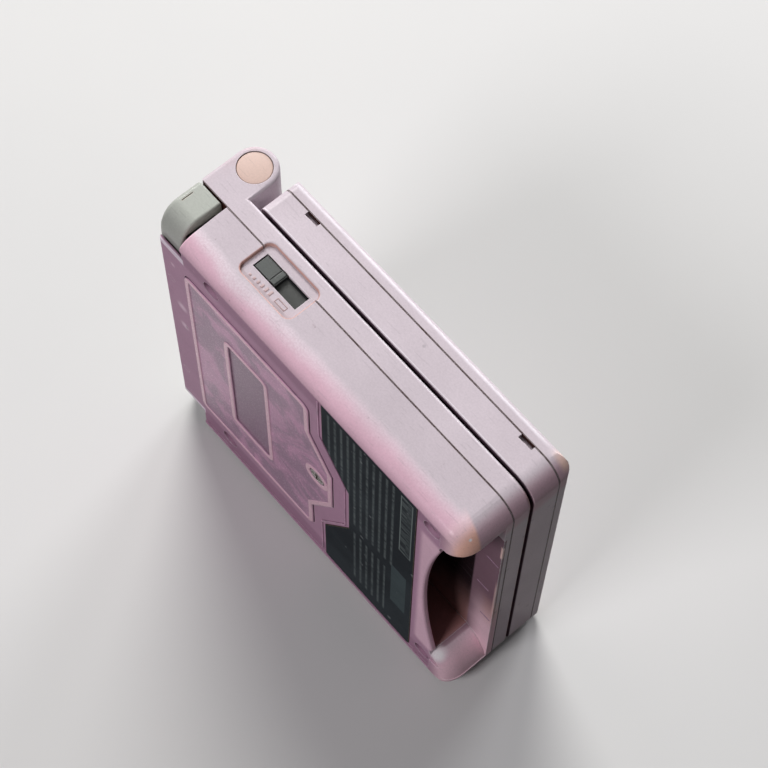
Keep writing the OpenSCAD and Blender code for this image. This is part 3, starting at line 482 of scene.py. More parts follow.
def pearl_zones(place):
    """Pink rim with a worn band over it, purple underside, then ledge, lip, slot and fins, with painted
    light: shade on the strip, corners and slot, highlights on ledge, brow and spots, lighter lip and fins.
    """
    x, y, z = axes(place)
    side = apart(z, MIDDLE)
    wander = noise(place, 90.0, 3.0)
    drift = ramp(noise(place, 26.0, 1.0), 0.3, 0.7, -1.0, 1.2)
    shaky = plus(y, drift, times(wander, 3.0))
    outer = ramp(side, MIDDLE - 4.5, MIDDLE - 1.5)
    rim = times(ramp(shaky, 7.5, 4.5), outer)
    flecks = ramp(noise(place, 2600.0, 3.0, 0.6), 0.34, 0.68, 0.6, 1.0)
    band = times(ramp(shaky, 7.8, 6.0), ramp(shaky, 3.4, 5.4))
    wear_and_highlight = times(flecks, band, ramp(x, 28.0, 50.0, 0.65, 0.3), outer)
    under = times(ramp(y, 3.2, 2.6), ramp(side, MIDDLE - 1.8, MIDDLE - 2.6))
    # Painted shade: the underside is darker along its outer strip, next to the rim, where the rim's lip
    # shades it.
    purple = mix(ramp(side, 32.0, 34.0), UNDER_TONE, STRIP_SHADE_TONE)
    # Painted highlight on the rounded edge of the ledge under the shoulder key.
    ledge_highlight = times(ramp(x, 8.2, 7.8), ramp(y, 0.9, 0.5), between(side, 32.5, 34.6, 0.3))
    # The lip round the thumb notch is a lighter pink, partly the paint's own and partly painted light on a
    # rim that faces away from the lamps.
    lip = times(ramp(x, 72.9, 74.4), ramp(side, 30.5, 28.0), ramp(y, 2.0, 1.8))
    # Painted shade in the cartridge slot: darker at its mouth, near black further in, and lighter towards
    # the lower fin.
    within = times(ramp(y, SLOT_FLOOR - 0.1, SLOT_FLOOR + 0.1),
                   ramp(y, SLOT_CEILING + 0.1, SLOT_CEILING - 0.1),
                   ramp(side, SLOT_HALF + 0.2, SLOT_HALF - 0.2))
    mouth = times(within, ramp(x, 76.5, 78.5))
    inside = times(within, ramp(x, 78.7, 78.2))
    # Painted highlights along the front edge of the slot's ceiling.
    brow_highlight = most(between(z, 61.4, 66.8, 0.5), times(between(z, 30.0, 47.0, 3.0), 0.5))
    brow_highlight = times(brow_highlight, ramp(x, 84.0, 84.3), ramp(y, 10.4, 10.1), ramp(y, 9.6, 9.8, 0.0, 0.8))
    # Painted highlights: a pale spot on a dimple and pale reflections near the rear of the underside.
    painted_highlights = [(times(ball_mask(place, centre, reach * 0.2, reach), 0.75), HIGHLIGHT_SPOT_TONE)
             for centre, reach in HIGHLIGHT_SPOTS]
    glints = [(ball_mask(place, *glint), GLINT_TONE) for glint in GLINTS]
    return layers(
        tone(*GREY_PINK), (rim, RIM_TONE), (wear_and_highlight, RUBBED_TONE),
        (recess_edge(x, y, side), RECESS_TONE), (scuffs(place, 0.63, 0.5), SCUFF_TONE),
        (under, purple), (ledge_highlight, LEDGE_HIGHLIGHT_TONE), (lip, LIP_TONE), (corner_shade(x, z), CORNER_SHADE_TONE),
        (case_seam(x, y), SEAM_TONE), (mouth, MOUTH_SHADE_TONE),
        (inside, mix(ramp(z, 36.0, 8.0), SLOT_SHADE_TONE, LIT_TONE)), (brow_highlight, BROW_HIGHLIGHT_TONE),
        *painted_highlights, fin_tips(x, y, z, wander), *glints,
    )


# %% Zones of the upper shell and the lid
def upper_zones(place):
    x, y, z = axes(place)
    side = apart(z, MIDDLE)
    wander = ramp(noise(place, 120.0, 3.0), 0.35, 0.65)
    rear = times(ramp(x, 6.0, 0.5), wander, 0.5)
    # Painted highlight: a pale line along the top edge of the wall.
    wear_and_highlight = times(between(y, 15.2, 15.55, 0.2), ramp(side, 40.0, 40.3), between(x, 10.5, 76.0, 1.5), 0.6)
    tips = times(ramp(x, 82.0, 84.5), ramp(y, 15.0, 15.6), 0.7)
    return layers(
        UPPER_TONE, (rear, REAR_TONE), (corner_shade(x, z), CORNER_SHADE_TONE),
        (case_seam(x, y), SEAM_TONE), (wear_and_highlight, tone(246, 240, 248)),
        (recess_edge(x, y, side), RECESS_TONE), (scuffs(place, 0.64, 0.4), SCUFF_TONE),
        (tips, PEACH_TONE),
    )


def lid_zones(place):
    """Painted shade in the gap: its dark tone depends on how near the base is, so it goes when the lid
    opens.
    """
    x, y, z = axes(place)
    side = apart(z, MIDDLE)
    tips = times(ramp(x, 79.5, 83.0), ramp(side, 37.5, 39.5), ramp(y, 22.8, 24.2))
    # Painted highlights: pale lines along the lid's outer rim and along its lower edge by the gap.
    wear_and_highlight = most(between(y, 23.8, 24.2, 0.25), between(y, 16.45, 16.6, 0.1))
    wear_and_highlight = times(wear_and_highlight, ramp(x, 80.0, 76.0, 0.0, 0.7), ramp(side, 39.6, 40.0))
    # Painted shade in the gap between lid and base, from ambient occlusion.
    sky = put(place.id_data, "ShaderNodeAmbientOcclusion", {"Distance": GAP_REACH * MM}, samples=8)
    gap = times(ramp(sky.outputs["AO"], 0.92, 0.65), ramp(y, 16.46, 16.38))
    return layers(
        LID_TONE, (corner_shade(x, z), CORNER_SHADE_TONE), (seam_line(y, LID_SEAM), SEAM_TONE),
        (tips, LID_TIP_TONE), (wear_and_highlight, tone(250, 244, 252)), (gap, GAP_SHADE_TONE),
    )


# %% Zones of the smaller pieces
def cover_zones(place):
    y = axes(place)[1]
    blotch = ramp(noise(place, 75.0, 4.0, 0.6, 1.2), 0.42, 0.62)
    # Painted highlight: the tops of the raised lines are lighter pink.
    return layers(
        tone(168, 131, 158), (blotch, tone(212, 158, 192)),
        (ramp(y, 0.36, 0.46), tone(148, 116, 140)), (ramp(y, 0.26, 0.16), tone(246, 202, 218)),
    )


def window_gap_shade(light, level):
    """Painted shade for the parts in the switch window: black near its long edges and below a level, where
    the gaps round the knob are dark.
    """
    def zones(place):
        _, y, z = axes(place)
        lit = ramp(apart(z, MIDDLE), level - 0.1, level)
        return mix(times(between(y, 8.02, 10.86, 0.06), lit), tone(14, 15, 16), light)

    return zones


def shoulder_zones(place):
    x, _, z = axes(place)
    # Painted light: the key's inner wall is a little lighter and greener than its top, against the shade and
    # pink bounce that fall on it.
    wall = times(ramp(x, 6.0, 6.28), ramp(apart(z, MIDDLE), 33.0, 34.0))
    return mix(wall, tone(182, 186, 178), tone(184, 190, 178))


# %% Finishes for the shells
PEARL = dict(rough=0.42, bare=(244, 236, 240), wear=0.7, soft_mm=0.12, coat=0.2, scratches=0.25, gleam=0.0)
lower_paint = plastic("pearl_lower", GREY_PINK, zones=pearl_zones, dirt=0.5, specks=0.6, **PEARL)
upper_paint = plastic("pearl_upper", GREY_PINK, zones=upper_zones, dirt=0.35, specks=0.5, **PEARL)
lid_paint = plastic("pearl_lid", (205, 196, 204), zones=lid_zones, dirt=0.3, specks=0.4, **PEARL)
cover_paint = plastic("pearl_cover", (190, 160, 180), rough=0.24, bare=(226, 190, 206), coat=0.12,
                      gleam=0.08, dirt=0.6, specks=0.4, zones=cover_zones)
shoulder_paint = plastic("pearl_shoulder", (180, 184, 175), bare=(214, 200, 186), wear=0.7, gleam=0.1,
                         soft_mm=0.2, coat=0.3, dirt=0.3, specks=0.4, zones=shoulder_zones,
                         dirt_and_shade_tone=(86, 84, 78))
cap_paint = plastic("pearl_cap", (218, 190, 178), rough=0.45, bare=(226, 202, 192), wear=0.4, dirt=0.85,
                    dirt_and_shade_tone=(120, 84, 70))
for made in (lower_paint, upper_paint, lid_paint, cover_paint, shoulder_paint, cap_paint):
    print("finish:", made.name)

# %% [markdown]
# ### Everything that isn't painted pearl
# The keys are grey-green plastic with a fine matt texture, the knobs and the slot are black
# plastic worn grey on top, with painted shade, near black, in the gaps round the knobs, the label
# is dark foil, and the rest is metal, rubber, glass or circuit board. Each comes from the same
# plastic recipe or a short one of its own.

# %% Plastics and rubber
sage_key = plastic("sage_key", (150, 160, 152), rough=0.5, bare=(176, 182, 176), grain=0.02)
charcoal_trim = plastic("charcoal_trim", (58, 60, 60), rough=0.5, bare=(104, 104, 102), wear=0.6, grain=0.02)
black_plastic = plastic("black_plastic", (26, 27, 29), rough=0.45, bare=(58, 58, 60), dirt=0.3,
                        dirt_and_shade_tone=(60, 56, 50))
# Painted shade: the crease tone is near black, and the zones paint the walls below the top and the window's
# long edges black, as shade in the gaps round the knob.
knob_plastic = plastic("knob_plastic", (66, 69, 68), rough=0.42, bare=(104, 107, 106), wear=0.6, grain=0.02,
                       dirt_and_shade_tone=(24, 24, 24), zones=window_gap_shade(tone(74, 78, 76), 40.26))
# Painted shade: near black in the plate's creases and along the window's long edges.
window_floor = plastic("window_floor", (56, 58, 58), rough=0.5, bare=(70, 72, 72), wear=0.3, grain=0.02,
                       dirt_and_shade_tone=(20, 20, 20), zones=window_gap_shade(tone(60, 62, 60), 39.0))
grey_rubber = plastic("grey_rubber", (96, 98, 100), rough=0.75, bare=(110, 112, 114), wear=0.2, grain=0.03)
bumper = plastic("pad_rubber", (186, 182, 184), rough=0.7, bare=(196, 192, 194), wear=0.3, grain=0.03)
port_shell = plastic("port_shell", (84, 86, 92), bare=(140, 140, 142))
battery_wrap = plastic("battery_wrap", (70, 78, 92), rough=0.35, bare=(96, 102, 114), wear=0.3, coat=0.3)
ribbon_film = plastic("ribbon_film", (176, 120, 62), rough=0.32, bare=(196, 146, 90), wear=0.3, coat=0.3)


# %% Metals
def metal(name, colour, rough, streak):
    material, tree, shader = empty_material(name)
    stretched = step("ShaderNodeMapping", {"Vector": own_place(tree), "Scale": streak}).outputs[0]
    brushed = noise(stretched, 1.0, 4.0, 0.7)
    dirt = use(tree, crease_dirt, Amount=0.7, Reach=0.0004)["Dirt"]
    normal = use(tree, worn_edge, Radius=0.00008, Reach=0.0002)["Normal"]
    base = layers(tone(*[v * 0.82 for v in colour]), (ramp(brushed, 0.3, 0.7), tone(*colour)),
                  (dirt, tone(60, 48, 40)))
    bumps = {"Height": brushed, "Distance": 0.00004, "Strength": 0.2, "Normal": normal}
    wire(tree, shader, Base_Color=base, Roughness=ramp(brushed, 0.25, 0.75, rough * 0.7, rough * 1.4),
         Metallic=1.0, Normal=step("ShaderNodeBump", bumps).outputs[0])
    return material


screw_steel = metal("screw_steel", (176, 172, 168), 0.34, (2500, 2500, 900))
contact_brass = metal("contact_brass", (214, 176, 106), 0.28, (900, 3000, 3000))
can_steel = metal("can_steel", (190, 192, 194), 0.3, (400, 2400, 2400))


# %% Circuit board
def board_material():
    material, tree, shader = empty_material("circuit_board")
    place = own_place(tree)
    bricks = {"Vector": place, "Scale": 420.0, "Mortar Size": 0.035, "Mortar": (0, 0, 0, 1),
              "Color1": (1, 1, 1, 1), "Color2": (0.6, 0.6, 0.6, 1)}
    squares = step("ShaderNodeTexBrick", bricks, offset=0.5).outputs
    cells = step("ShaderNodeTexVoronoi", {"Vector": place, "Scale": 700.0}, distance="MANHATTAN")
    copper = ramp(cells.outputs["Distance"], 0.12, 0.08)
    base = layers(tone(24, 92, 62), (squares["Color"], tone(34, 112, 74)), (copper, tone(206, 170, 92)))
    bumps = {"Height": squares["Fac"], "Distance": 0.00003, "Strength": 0.4}
    wire(tree, shader, Base_Color=base, Roughness=ramp(noise(place, 800.0), 0.3, 0.7, 0.28, 0.42),
         Coat_Weight=0.3, Normal=step("ShaderNodeBump", bumps).outputs[0])
    return material


circuit_board = board_material()


# %% Glass and displays
def screen_zones(place):
    x, _, z = axes(place)
    across, along = apart(z, MIDDLE), apart(x, 47.5)
    view = times(ramp(across, 30.8, 30.6), ramp(along, 21.0, 20.8))
    return mix(view, tone(36, 38, 44), tone(104, 112, 102))


def glassy(name, colour, rough, smears):
    material, tree, shader = empty_material(name)
    age = use(tree, aged_paint, Place=own_place(tree), Specks=0.4, Scratches=smears)
    base = layers(tone(*[v * 0.85 for v in colour]), (ramp(age["Cloud"], 0.3, 0.7), tone(*colour)),
                  (times(age["Scratches"], 0.4), tone(150, 150, 150)))
    wire(tree, shader, Base_Color=base, Roughness=ramp(age["Cloud"], 0.3, 0.7, rough, rough * 2.2),
         Coat_Weight=0.6, Coat_Roughness=0.06)
    return material


display_glass = glassy("display_glass", (64, 70, 66), 0.12, 0.4)
screen_cover = plastic("screen_cover", (60, 66, 62), rough=0.14, bare=(96, 100, 98), wear=0.3, coat=0.5,
                       soft_mm=0.1, scratches=0.5, specks=0.2, dirt=0.3, zones=screen_zones)
led_lens = glassy("led_lens", (150, 178, 120), 0.18, 0.2)

# %% Give every CAD piece its finish
FINISH = {
    "pearl": upper_paint, "screw_steel": screw_steel, "switch_can": can_steel, "port_shell": port_shell,
    "battery_wrap": battery_wrap, "contact_brass": contact_brass, "label": charcoal_trim,
    "black_plastic": black_plastic, "board": circuit_board, "sage": sage_key, "charcoal": charcoal_trim,
    "rubber": grey_rubber, "led": led_lens, "cap": cap_paint, "flex": ribbon_film, "lens": display_glass,
    "lcd": display_glass,
}
slot_of = {part["node"]: part["material_slot"] for part in frame["record"]["subparts"]}
SHELLS = {"base_lower_shell": lower_paint, "lid_inner_shell": lid_paint, "lid_outer_shell": lid_paint,
          "battery_cover": cover_paint, "shoulder_button_left": shoulder_paint,
          "shoulder_button_right": shoulder_paint, "lid_screw_pads": bumper}
for name, piece in nodes.items():
    piece.data.materials.clear()
    piece.data.materials.append(SHELLS.get(name, FINISH[slot_of[name]]))
    piece.color = (1, 1, 1, 1)
print("finished CAD pieces:", len(slot_of))

# %% [markdown]
# ## Softening the shells
# A mould is cut with small radii everywhere, because sharp corners crack and don't fill. The plain
# shells have only their main radii, so each is copied, its doubled points are merged, flat faces
# are joined, and its edges are then rounded by place: a few tenths at a seam, more at a lip that
# a thumb meets. Rounding real geometry gives true highlights from every side.

# %% Helpers for modelling
bpy.context.tool_settings.mesh_select_mode = (False, True, False)
SAME_POINT = 1e-7
FLAT_ANGLE = 0.005


def rest():
    if bpy.context.object and bpy.context.object.mode != "OBJECT":
        bpy.ops.object.mode_set(mode="OBJECT")
    bpy.ops.object.select_all(action="DESELECT")


def hold(obj):
    rest()
    obj.select_set(True)
    bpy.context.view_layer.objects.active = obj


def edit_all():
    bpy.ops.object.mode_set(mode="EDIT")
    bpy.ops.mesh.select_all(action="SELECT")


def leave():
    bpy.ops.object.mode_set(mode="OBJECT")


def settle(obj):
    hold(obj)
    bpy.ops.object.transform_apply(location=True, rotation=True, scale=True)
    return obj


def cad_copy(node, name):
    made = bpy.data.objects.new(name, nodes[node].data.copy())
    bpy.context.scene.collection.objects.link(made)
    hold(made)
    edit_all()
    bpy.ops.mesh.remove_doubles(threshold=SAME_POINT)
    bpy.ops.mesh.dissolve_limited(angle_limit=FLAT_ANGLE)
    leave()
    return made


def block(name, low, high):
    low, high = at(*low), at(*high)
    rest()
    bpy.ops.mesh.primitive_cube_add(size=1, location=(low + high) / 2, scale=high - low)
    made = bpy.context.object
    made.name = name
    return settle(made)


TURN = {"y": (math.pi / 2, 0, 0), "z": (0, 0, 0)}


def rod(name, centre, radius, length, axis, sides):
    rest()
    bpy.ops.mesh.primitive_cylinder_add(vertices=sides, radius=radius * MM, depth=length * MM,
                                        location=at(*centre), rotation=TURN[axis])
    made = bpy.context.object
    made.name = name
    return settle(made)


def runs(edge, along):
    way = (edge.verts[1].co - edge.verts[0].co).normalized()
    return not along or abs(way["xyz".index(along)]) > 0.98


def pick_edges(obj, test, least, along):
    """Selects the edges sharper than so many degrees with both ends in the place that is tested."""
    hold(obj)
    mesh = bmesh.new()
    mesh.from_mesh(obj.data)
    for part in (mesh.verts, mesh.edges, mesh.faces):
        for one in part:
            one.select = False
    chosen = [e for e in mesh.edges if len(e.link_faces) == 2 and runs(e, along) and
              math.degrees(e.calc_face_angle(0)) > least and all(test(*spot(v.co)) for v in e.verts)]
    for one in chosen:
        one.select = True
    mesh.to_mesh(obj.data)
    mesh.free()
    return len(chosen)


def round_edges(obj, test, radius, segments=3, least=30, along="", slide=True):
    count = pick_edges(obj, test, least, along)
    if count:
        bpy.ops.object.mode_set(mode="EDIT")
        bpy.ops.mesh.bevel(offset=radius * MM, offset_type="OFFSET", segments=segments,
                           affect="EDGES", clamp_overlap=False, miter_outer="ARC", loop_slide=slide)
        leave()
    print(f"{obj.name}: rounded {count} edges by {radius} mm")


def pick_faces(obj, test):
    """Selects the faces whose middle and normal pass the test and goes into edit mode."""
    hold(obj)
    data = obj.data
    for part in (data.vertices, data.edges, data.polygons):
        part.foreach_set("select", [False] * len(part))
    for face in data.polygons:
        face.select = bool(test(*spot(face.center), face.normal))
    bpy.context.tool_settings.mesh_select_mode = (False, False, True)
    bpy.ops.object.mode_set(mode="EDIT")


def leave_faces():
    leave()
    bpy.context.tool_settings.mesh_select_mode = (False, True, False)


def combine(obj, tool, operation):
    hold(obj)
    change = obj.modifiers.new("join", "BOOLEAN")
    change.operation, change.solver, change.object = operation, "EXACT", tool
    bpy.ops.object.modifier_apply(modifier=change.name)
    bpy.data.objects.remove(tool)
    return obj


def union(name, pieces):
    """Joins pieces one after the other into the first of them."""
    pieces = iter(pieces)
    made = next(pieces)
    for piece in pieces:
        combine(made, piece, "UNION")
    made.name = name
    return made


def to_right_side(obj):
    """Turns a piece of the left side into its mirror image on the right side."""
    obj.data.transform(Matrix.Translation((0, 0, WIDTH * MM)) @ Matrix.Diagonal((1, 1, -1, 1)))
    outward(obj)


def stretch(obj, centre, factors):
    obj.data.transform(Matrix.Translation(-at(*centre)))
    obj.data.transform(Matrix.Diagonal((*factors, 1)))
    obj.data.transform(Matrix.Translation(at(*centre)))


def outward(obj):
    hold(obj)
    edit_all()
    bpy.ops.mesh.remove_doubles(threshold=SAME_POINT)
    bpy.ops.mesh.normals_make_consistent(inside=False)
    leave()


def finish(obj, body, slot, material, *stands_for, angle=32):
    hold(obj)
    edit_all()
    bpy.ops.mesh.faces_shade_smooth()
    bpy.ops.mesh.mark_sharp(clear=True)
    bpy.ops.mesh.select_all(action="DESELECT")
    bpy.ops.mesh.edges_select_sharp(sharpness=math.radians(angle))
    bpy.ops.mesh.mark_sharp()
    leave()
    change = obj.modifiers.new("even", "WEIGHTED_NORMAL")
    change.keep_sharp = True
    bpy.ops.object.modifier_apply(modifier=change.name)
    obj.data.materials.clear()
    obj.data.materials.append(material)
    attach(obj, body)
    if stands_for:
        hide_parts(*stands_for)
    print(f"{obj.name}: {len(obj.data.polygons)} faces on {body}")


# %% [markdown]
# ### Lower shell
# The side runs into the underside over a tall, narrow curve, softer than a quarter circle. A form
# with that curve is made by rounding the edges of a squat block and stretching it upright, and the
# shell is cut to it. The two fins beside the cartridge slot then get thick round ends, and the thumb
# notch, the recesses and the seam get their lips.

# %% Where points lie
def mirrored(z):
    return abs(z - MIDDLE)


def flank(z, reach):
    return z > WIDTH - reach or z < reach


def near(value, level, reach=0.02):
    return abs(value - level) < reach


# %% A form with a tall edge curve
TALL, NARROW = 4.4, 2.35
SPARE = 0.004
squash = NARROW / TALL
low_form = block("low_form", (-SPARE, 0, -SPARE), (DEPTH + SPARE, 24, WIDTH + SPARE))
round_edges(low_form, lambda x, y, z: x > 80, 5.0, 16, along="y")
round_edges(low_form, lambda x, y, z: x < 1, 2.8, 8, along="y")
round_edges(low_form, lambda x, y, z: y < 0.1, NARROW, 12)
stretch(low_form, (0, 0, 0), (1, 1 / squash, 1))


# %% Lower shell
FIN_Z = 73.97
INNER_Z, OUTER_Z = 60, 96


def prism(name, outline, low, high):
    """An upright block on an outline of (x, z) points."""
    rest()
    bpy.ops.mesh.primitive_circle_add(vertices=len(outline), fill_type="NGON")
    made = bpy.context.object
    made.name = name
    for vertex, (x, z) in zip(made.data.vertices, outline):
        vertex.co = at(x, low, z) - made.location
    settle(made)
    edit_all()
    bpy.ops.mesh.extrude_region_move(TRANSFORM_OT_translate={"value": (0, (high - low) * MM, 0)})
    leave()
    outward(made)
    return made


def flipped(points, side):
    return points if side > 0 else [(x, WIDTH - z) for x, z in points]


def fin_tool(side):
    """What is cut away beside a fin, so that its inner corner and tip become a thick round."""
    front = DEPTH + SPARE
    outline = [(60, INNER_Z), (66, 60.96), (front, FIN_Z), (front, OUTER_Z), (60, OUTER_Z)]
    bulb = prism("bulb", flipped(outline, side), 0, 14)
    tip_z = FIN_Z if side > 0 else WIDTH - FIN_Z
    round_edges(bulb, lambda x, y, z: x > 84 and near(z, tip_z, 0.1), 4.6, 14, 10, "y")
    stretch(bulb, (0, 0, 0), (1, squash, 1))
    round_edges(bulb, lambda x, y, z: y < 0.1 and x > 64 and mirrored(z) < 50, NARROW, 12, 20)
    stretch(bulb, (0, 0, 0), (1, 1 / squash, 1))
    around = prism("around", flipped([(78.6, 66), (86, 66), (86, 77), (78.6, 77)], side), -1, 9.88)
    return combine(around, bulb, "DIFFERENCE")


lower = combine(cad_copy("base_lower_shell", "lower_shell_body"), low_form, "INTERSECT")
for side in (1, -1):
    lower = combine(lower, fin_tool(side), "DIFFERENCE")
round_edges(lower, lambda x, y, z: x < 7.8 and y < 1.2 and near(mirrored(z), 33.8, 0.05), 0.22, 4, along="x")
round_edges(lower, lambda x, y, z: near(x, 7.7, 0.05) and y < 9 and mirrored(z) > 36.5, 0.5, 5, 40)
round_edges(lower, lambda x, y, z: 72 < x < 78.8 and 0.2 < y < 2 and mirrored(z) < 28.9, 0.55, 6)
round_edges(lower, lambda x, y, z: x > DEPTH - 0.1 and 9.5 < y < 11.3 and mirrored(z) < 31, 0.4, 4)
round_edges(lower, lambda x, y, z: near(y, SEAM, 0.01) and (flank(z, 0.3) or x > 78), 0.16, 2)
round_edges(lower, lambda x, y, z: flank(z, 0.1) and 17 < x < 33 and 5 < y < 11.6, 0.3, 4)
round_edges(lower, lambda x, y, z: y < 0.1 and 37 < mirrored(z) < 38.6 and x < 79, 0.1, 2, 60)
finish(lower, "base", "pearl", lower_paint, "base_lower_shell")

# %% [markdown]
# ### Upper shell
# The upper shell carries the keys, and at the rear its two arms reach up and hold the hinge. The top
# edge of its wall and the rims of the arms share one radius of nearly a millimetre. The rims of the
# key holes and speaker slots get a smaller one, cut square to each edge, because sliding along such
# short edges would fold the floor between the slots.


# %% Upper shell
def arm_rims(x, y, z):
    off_cap = math.hypot(x - HINGE[0], y - HINGE[1]) > 4.4
    over_top = (flank(z, 0.05) or x > 79) and y > BASE_TOP - 0.02 and off_cap
    return over_top or x < 0.02 and flank(z, 0.05)


upper = cad_copy("base_upper_shell", "upper_shell_body")
round_edges(upper, arm_rims, 0.8, 7, 25)
round_edges(upper, lambda x, y, z: near(y, SEAM) and (flank(z, 0.05) or x > 78), 0.16, 2)
round_edges(upper, lambda x, y, z: near(y, BASE_TOP) and 12 < x < 78 and 6 < z < 76, 0.3, slide=False)
round_edges(upper, lambda x, y, z: flank(z, 0.1) and 17 < x < 33 and 11.4 < y < 13.3, 0.55, 5)
finish(upper, "base", "pearl", upper_paint, "base_upper_shell")

# %% [markdown]
# ### Lid
# The lid closes over the screen as two shells. Its inner one is a tray whose floor edge is a small
# radius, and the outer one has a generous rounded rim all round. A thin line parts them.


# %% Lid shells
def lid_parting(x, y, z):
    return near(y, LID_SEAM) and (mirrored(z) > 40.9 or x > 78 or x < 12)


inner = cad_copy("lid_inner_shell", "lid_inner_body")
round_edges(inner, lambda x, y, z: near(y, LID_BOTTOM) and x > 11 and (mirrored(z) > 33 or x > 78), 0.25)
round_edges(inner, lid_parting, 0.12, 2)
finish(inner, "lid", "pearl", lid_paint, "lid_inner_shell")
outer = cad_copy("lid_outer_shell", "lid_outer_body")
round_edges(outer, lid_parting, 0.12, 2)
finish(outer, "lid", "pearl", lid_paint, "lid_outer_shell")

# %% [markdown]
# ## Underside
# The battery cover is a thin plate with a tongue. A raised line runs round its outline, round the
# bare field in its middle and round the screw's well. Two insets along every border leave a narrow
# strip between them, and pushing that strip outwards makes all of these lines at once.


# %% Battery cover
cover = cad_copy("battery_cover", "battery_cover_plate")
face_low = min(spot(v.co)[1] for v in cover.data.vertices)


def cover_face(x, y, z, n):
    return n.y < -0.9 and y < face_low + 0.05


def inset(*widths):
    for width in widths:
        bpy.ops.mesh.inset(thickness=width * MM, use_boundary=True, use_even_offset=True)


LINE_HEIGHT = 0.2
pick_faces(cover, cover_face)
inset(0.25)
bpy.ops.transform.translate(value=(0, -LINE_HEIGHT * MM, 0))
inset(0.12, 0.8, 0.15)
bpy.ops.transform.translate(value=(0, LINE_HEIGHT * MM, 0))
leave_faces()
finish(cover, "base", "pearl", cover_paint, "battery_cover", angle=20)

# %% [markdown]
# ### Foil label
# The dark foil label carries nothing that can be read here: rows of short grey dashes stand for
# small print, a thin frame and a paler patch break up its front part. Rows and dashes are masks
# from the label's own coordinates, so they stay sharp at any size.


# %% Label print
ROW_PITCH, FIRST_ROW = 1.75, 47.9


def area(x, z, x0, x1, z0, z1):
    return times(between(x, x0, x1), between(z, z0, z1))


def label_zones(place):
    x, _, z = axes(place)
    row = maths("FRACT", times(minus(x, FIRST_ROW), 1 / ROW_PITCH))
    stripe = between(row, 0.34, 0.66, 0.14)
    line = maths("FLOOR", times(x, 1 / ROW_PITCH))
    grid = step("ShaderNodeCombineXYZ", {0: line, 1: times(z, 0.6), 2: 0.0}).outputs[0]
    dashes = ramp(noise(grid, 1.6, 3.0, 0.9), 0.36, 0.60, 0.15, 1.0)
    text = most(area(x, z, 48.0, 66.8, 37.0, 77.2), area(x, z, 55.4, 64.8, 8.0, 33.0))
    broken = ramp(noise(grid, 2.6, 2.0, 0.8), 0.48, 0.54)
    broken = minus(1.0, times(broken, 0.45))
    hole = times(area(x, z, 68.45, 71.15, 50.25, 76.75), broken)
    box = minus(area(x, z, 68.2, 71.4, 50.0, 77.0), hole)
    patch = area(x, z, 66.4, 70.6, 18.0, 38.0)
    chips = ramp(noise(place, 420.0, 1.0), 0.72, 0.76)
    return layers(
        tone(47, 53, 57), (ramp(noise(place, 60.0, 3.0), 0.35, 0.65), tone(58, 65, 69)),
        (times(stripe, dashes, text, 0.85), tone(114, 124, 124)),
        (times(box, 0.9), tone(134, 146, 144)), (times(patch, 0.7), tone(84, 98, 100)),
        (times(chips, 0.6), tone(150, 158, 158)),
    )


foil_label = plastic("foil_label", (46, 54, 58), rough=0.30, bare=(150, 138, 108), wear=0.6,
                     soft_mm=0.16, zones=label_zones, coat=0.06, scratches=0.6, specks=0.5, dirt=0.4,
                     gleam=0.0)
label = cad_copy("rating_label", "foil_label_sheet")
round_edges(label, lambda x, y, z: y < 0.3, 0.06, 2, 60)
finish(label, "base", "label", foil_label, "rating_label")


# %% [markdown]
# ### Lines and ribs
# The case has a fine raised line that follows the label's notched edge, a little outside it, and
# three short ribs hang from the ceiling of the cartridge slot. Both are thin strips that sit on the
# shell, made as prisms along short legs and joined into one piece.


# %% Raised lines and ribs
def leg(a, b, half, low, high):
    """A thin upright strip from a to b, in (x, z), and between two heights."""
    (x0, z0), (x1, z1) = a, b
    length = math.hypot(x1 - x0, z1 - z0)
    ux, uz = (x1 - x0) / length * half, (z1 - z0) / length * half
    points = [(x0 - ux - uz, z0 - uz + ux), (x0 - ux + uz, z0 - uz - ux),
              (x1 + ux + uz, z1 + uz - ux), (x1 + ux - uz, z1 + uz + ux)]
    return prism("leg", points, low, high)


corners = [(45.75, 77.6), (45.75, 62.7), (52.9, 50.6), (52.9, 31.4), (45.75, 19.3), (45.75, 4.4)]
contour = union("label_contour", (leg(a, b, 0.22, 0.24, 0.6) for a, b in zip(corners, corners[1:])))
round_edges(contour, lambda x, y, z: y < 0.3, 0.12, 3, 60)
finish(contour, "base", "pearl", cover_paint)
rib_places = (81.3, 84.0, 56.2), (79.8, 82.6, 40.3), (81.7, 84.0, 25.9)
ribs = union("slot_ceiling_ribs", (leg((x0, z), (x1, z), 0.17, 9.8, 10.1) for x0, x1, z in rib_places))
round_edges(ribs, lambda x, y, z: y < 9.85, 0.07, 3, 60)
finish(ribs, "base", "pearl", cover_paint)

# %% [markdown]
# ## Shoulder buttons
# Each shoulder button fills a bite out of the case's rear corner. It is a single moulding whose
# outer lower edge is a large round that follows the case, and the rest of its edges are small. A
# block is squeezed while that long edge is rounded, so that the round becomes longer than it is
# high. The button is hollow behind, with room for its pin and coil spring, and a short dash is cut
# in its side.

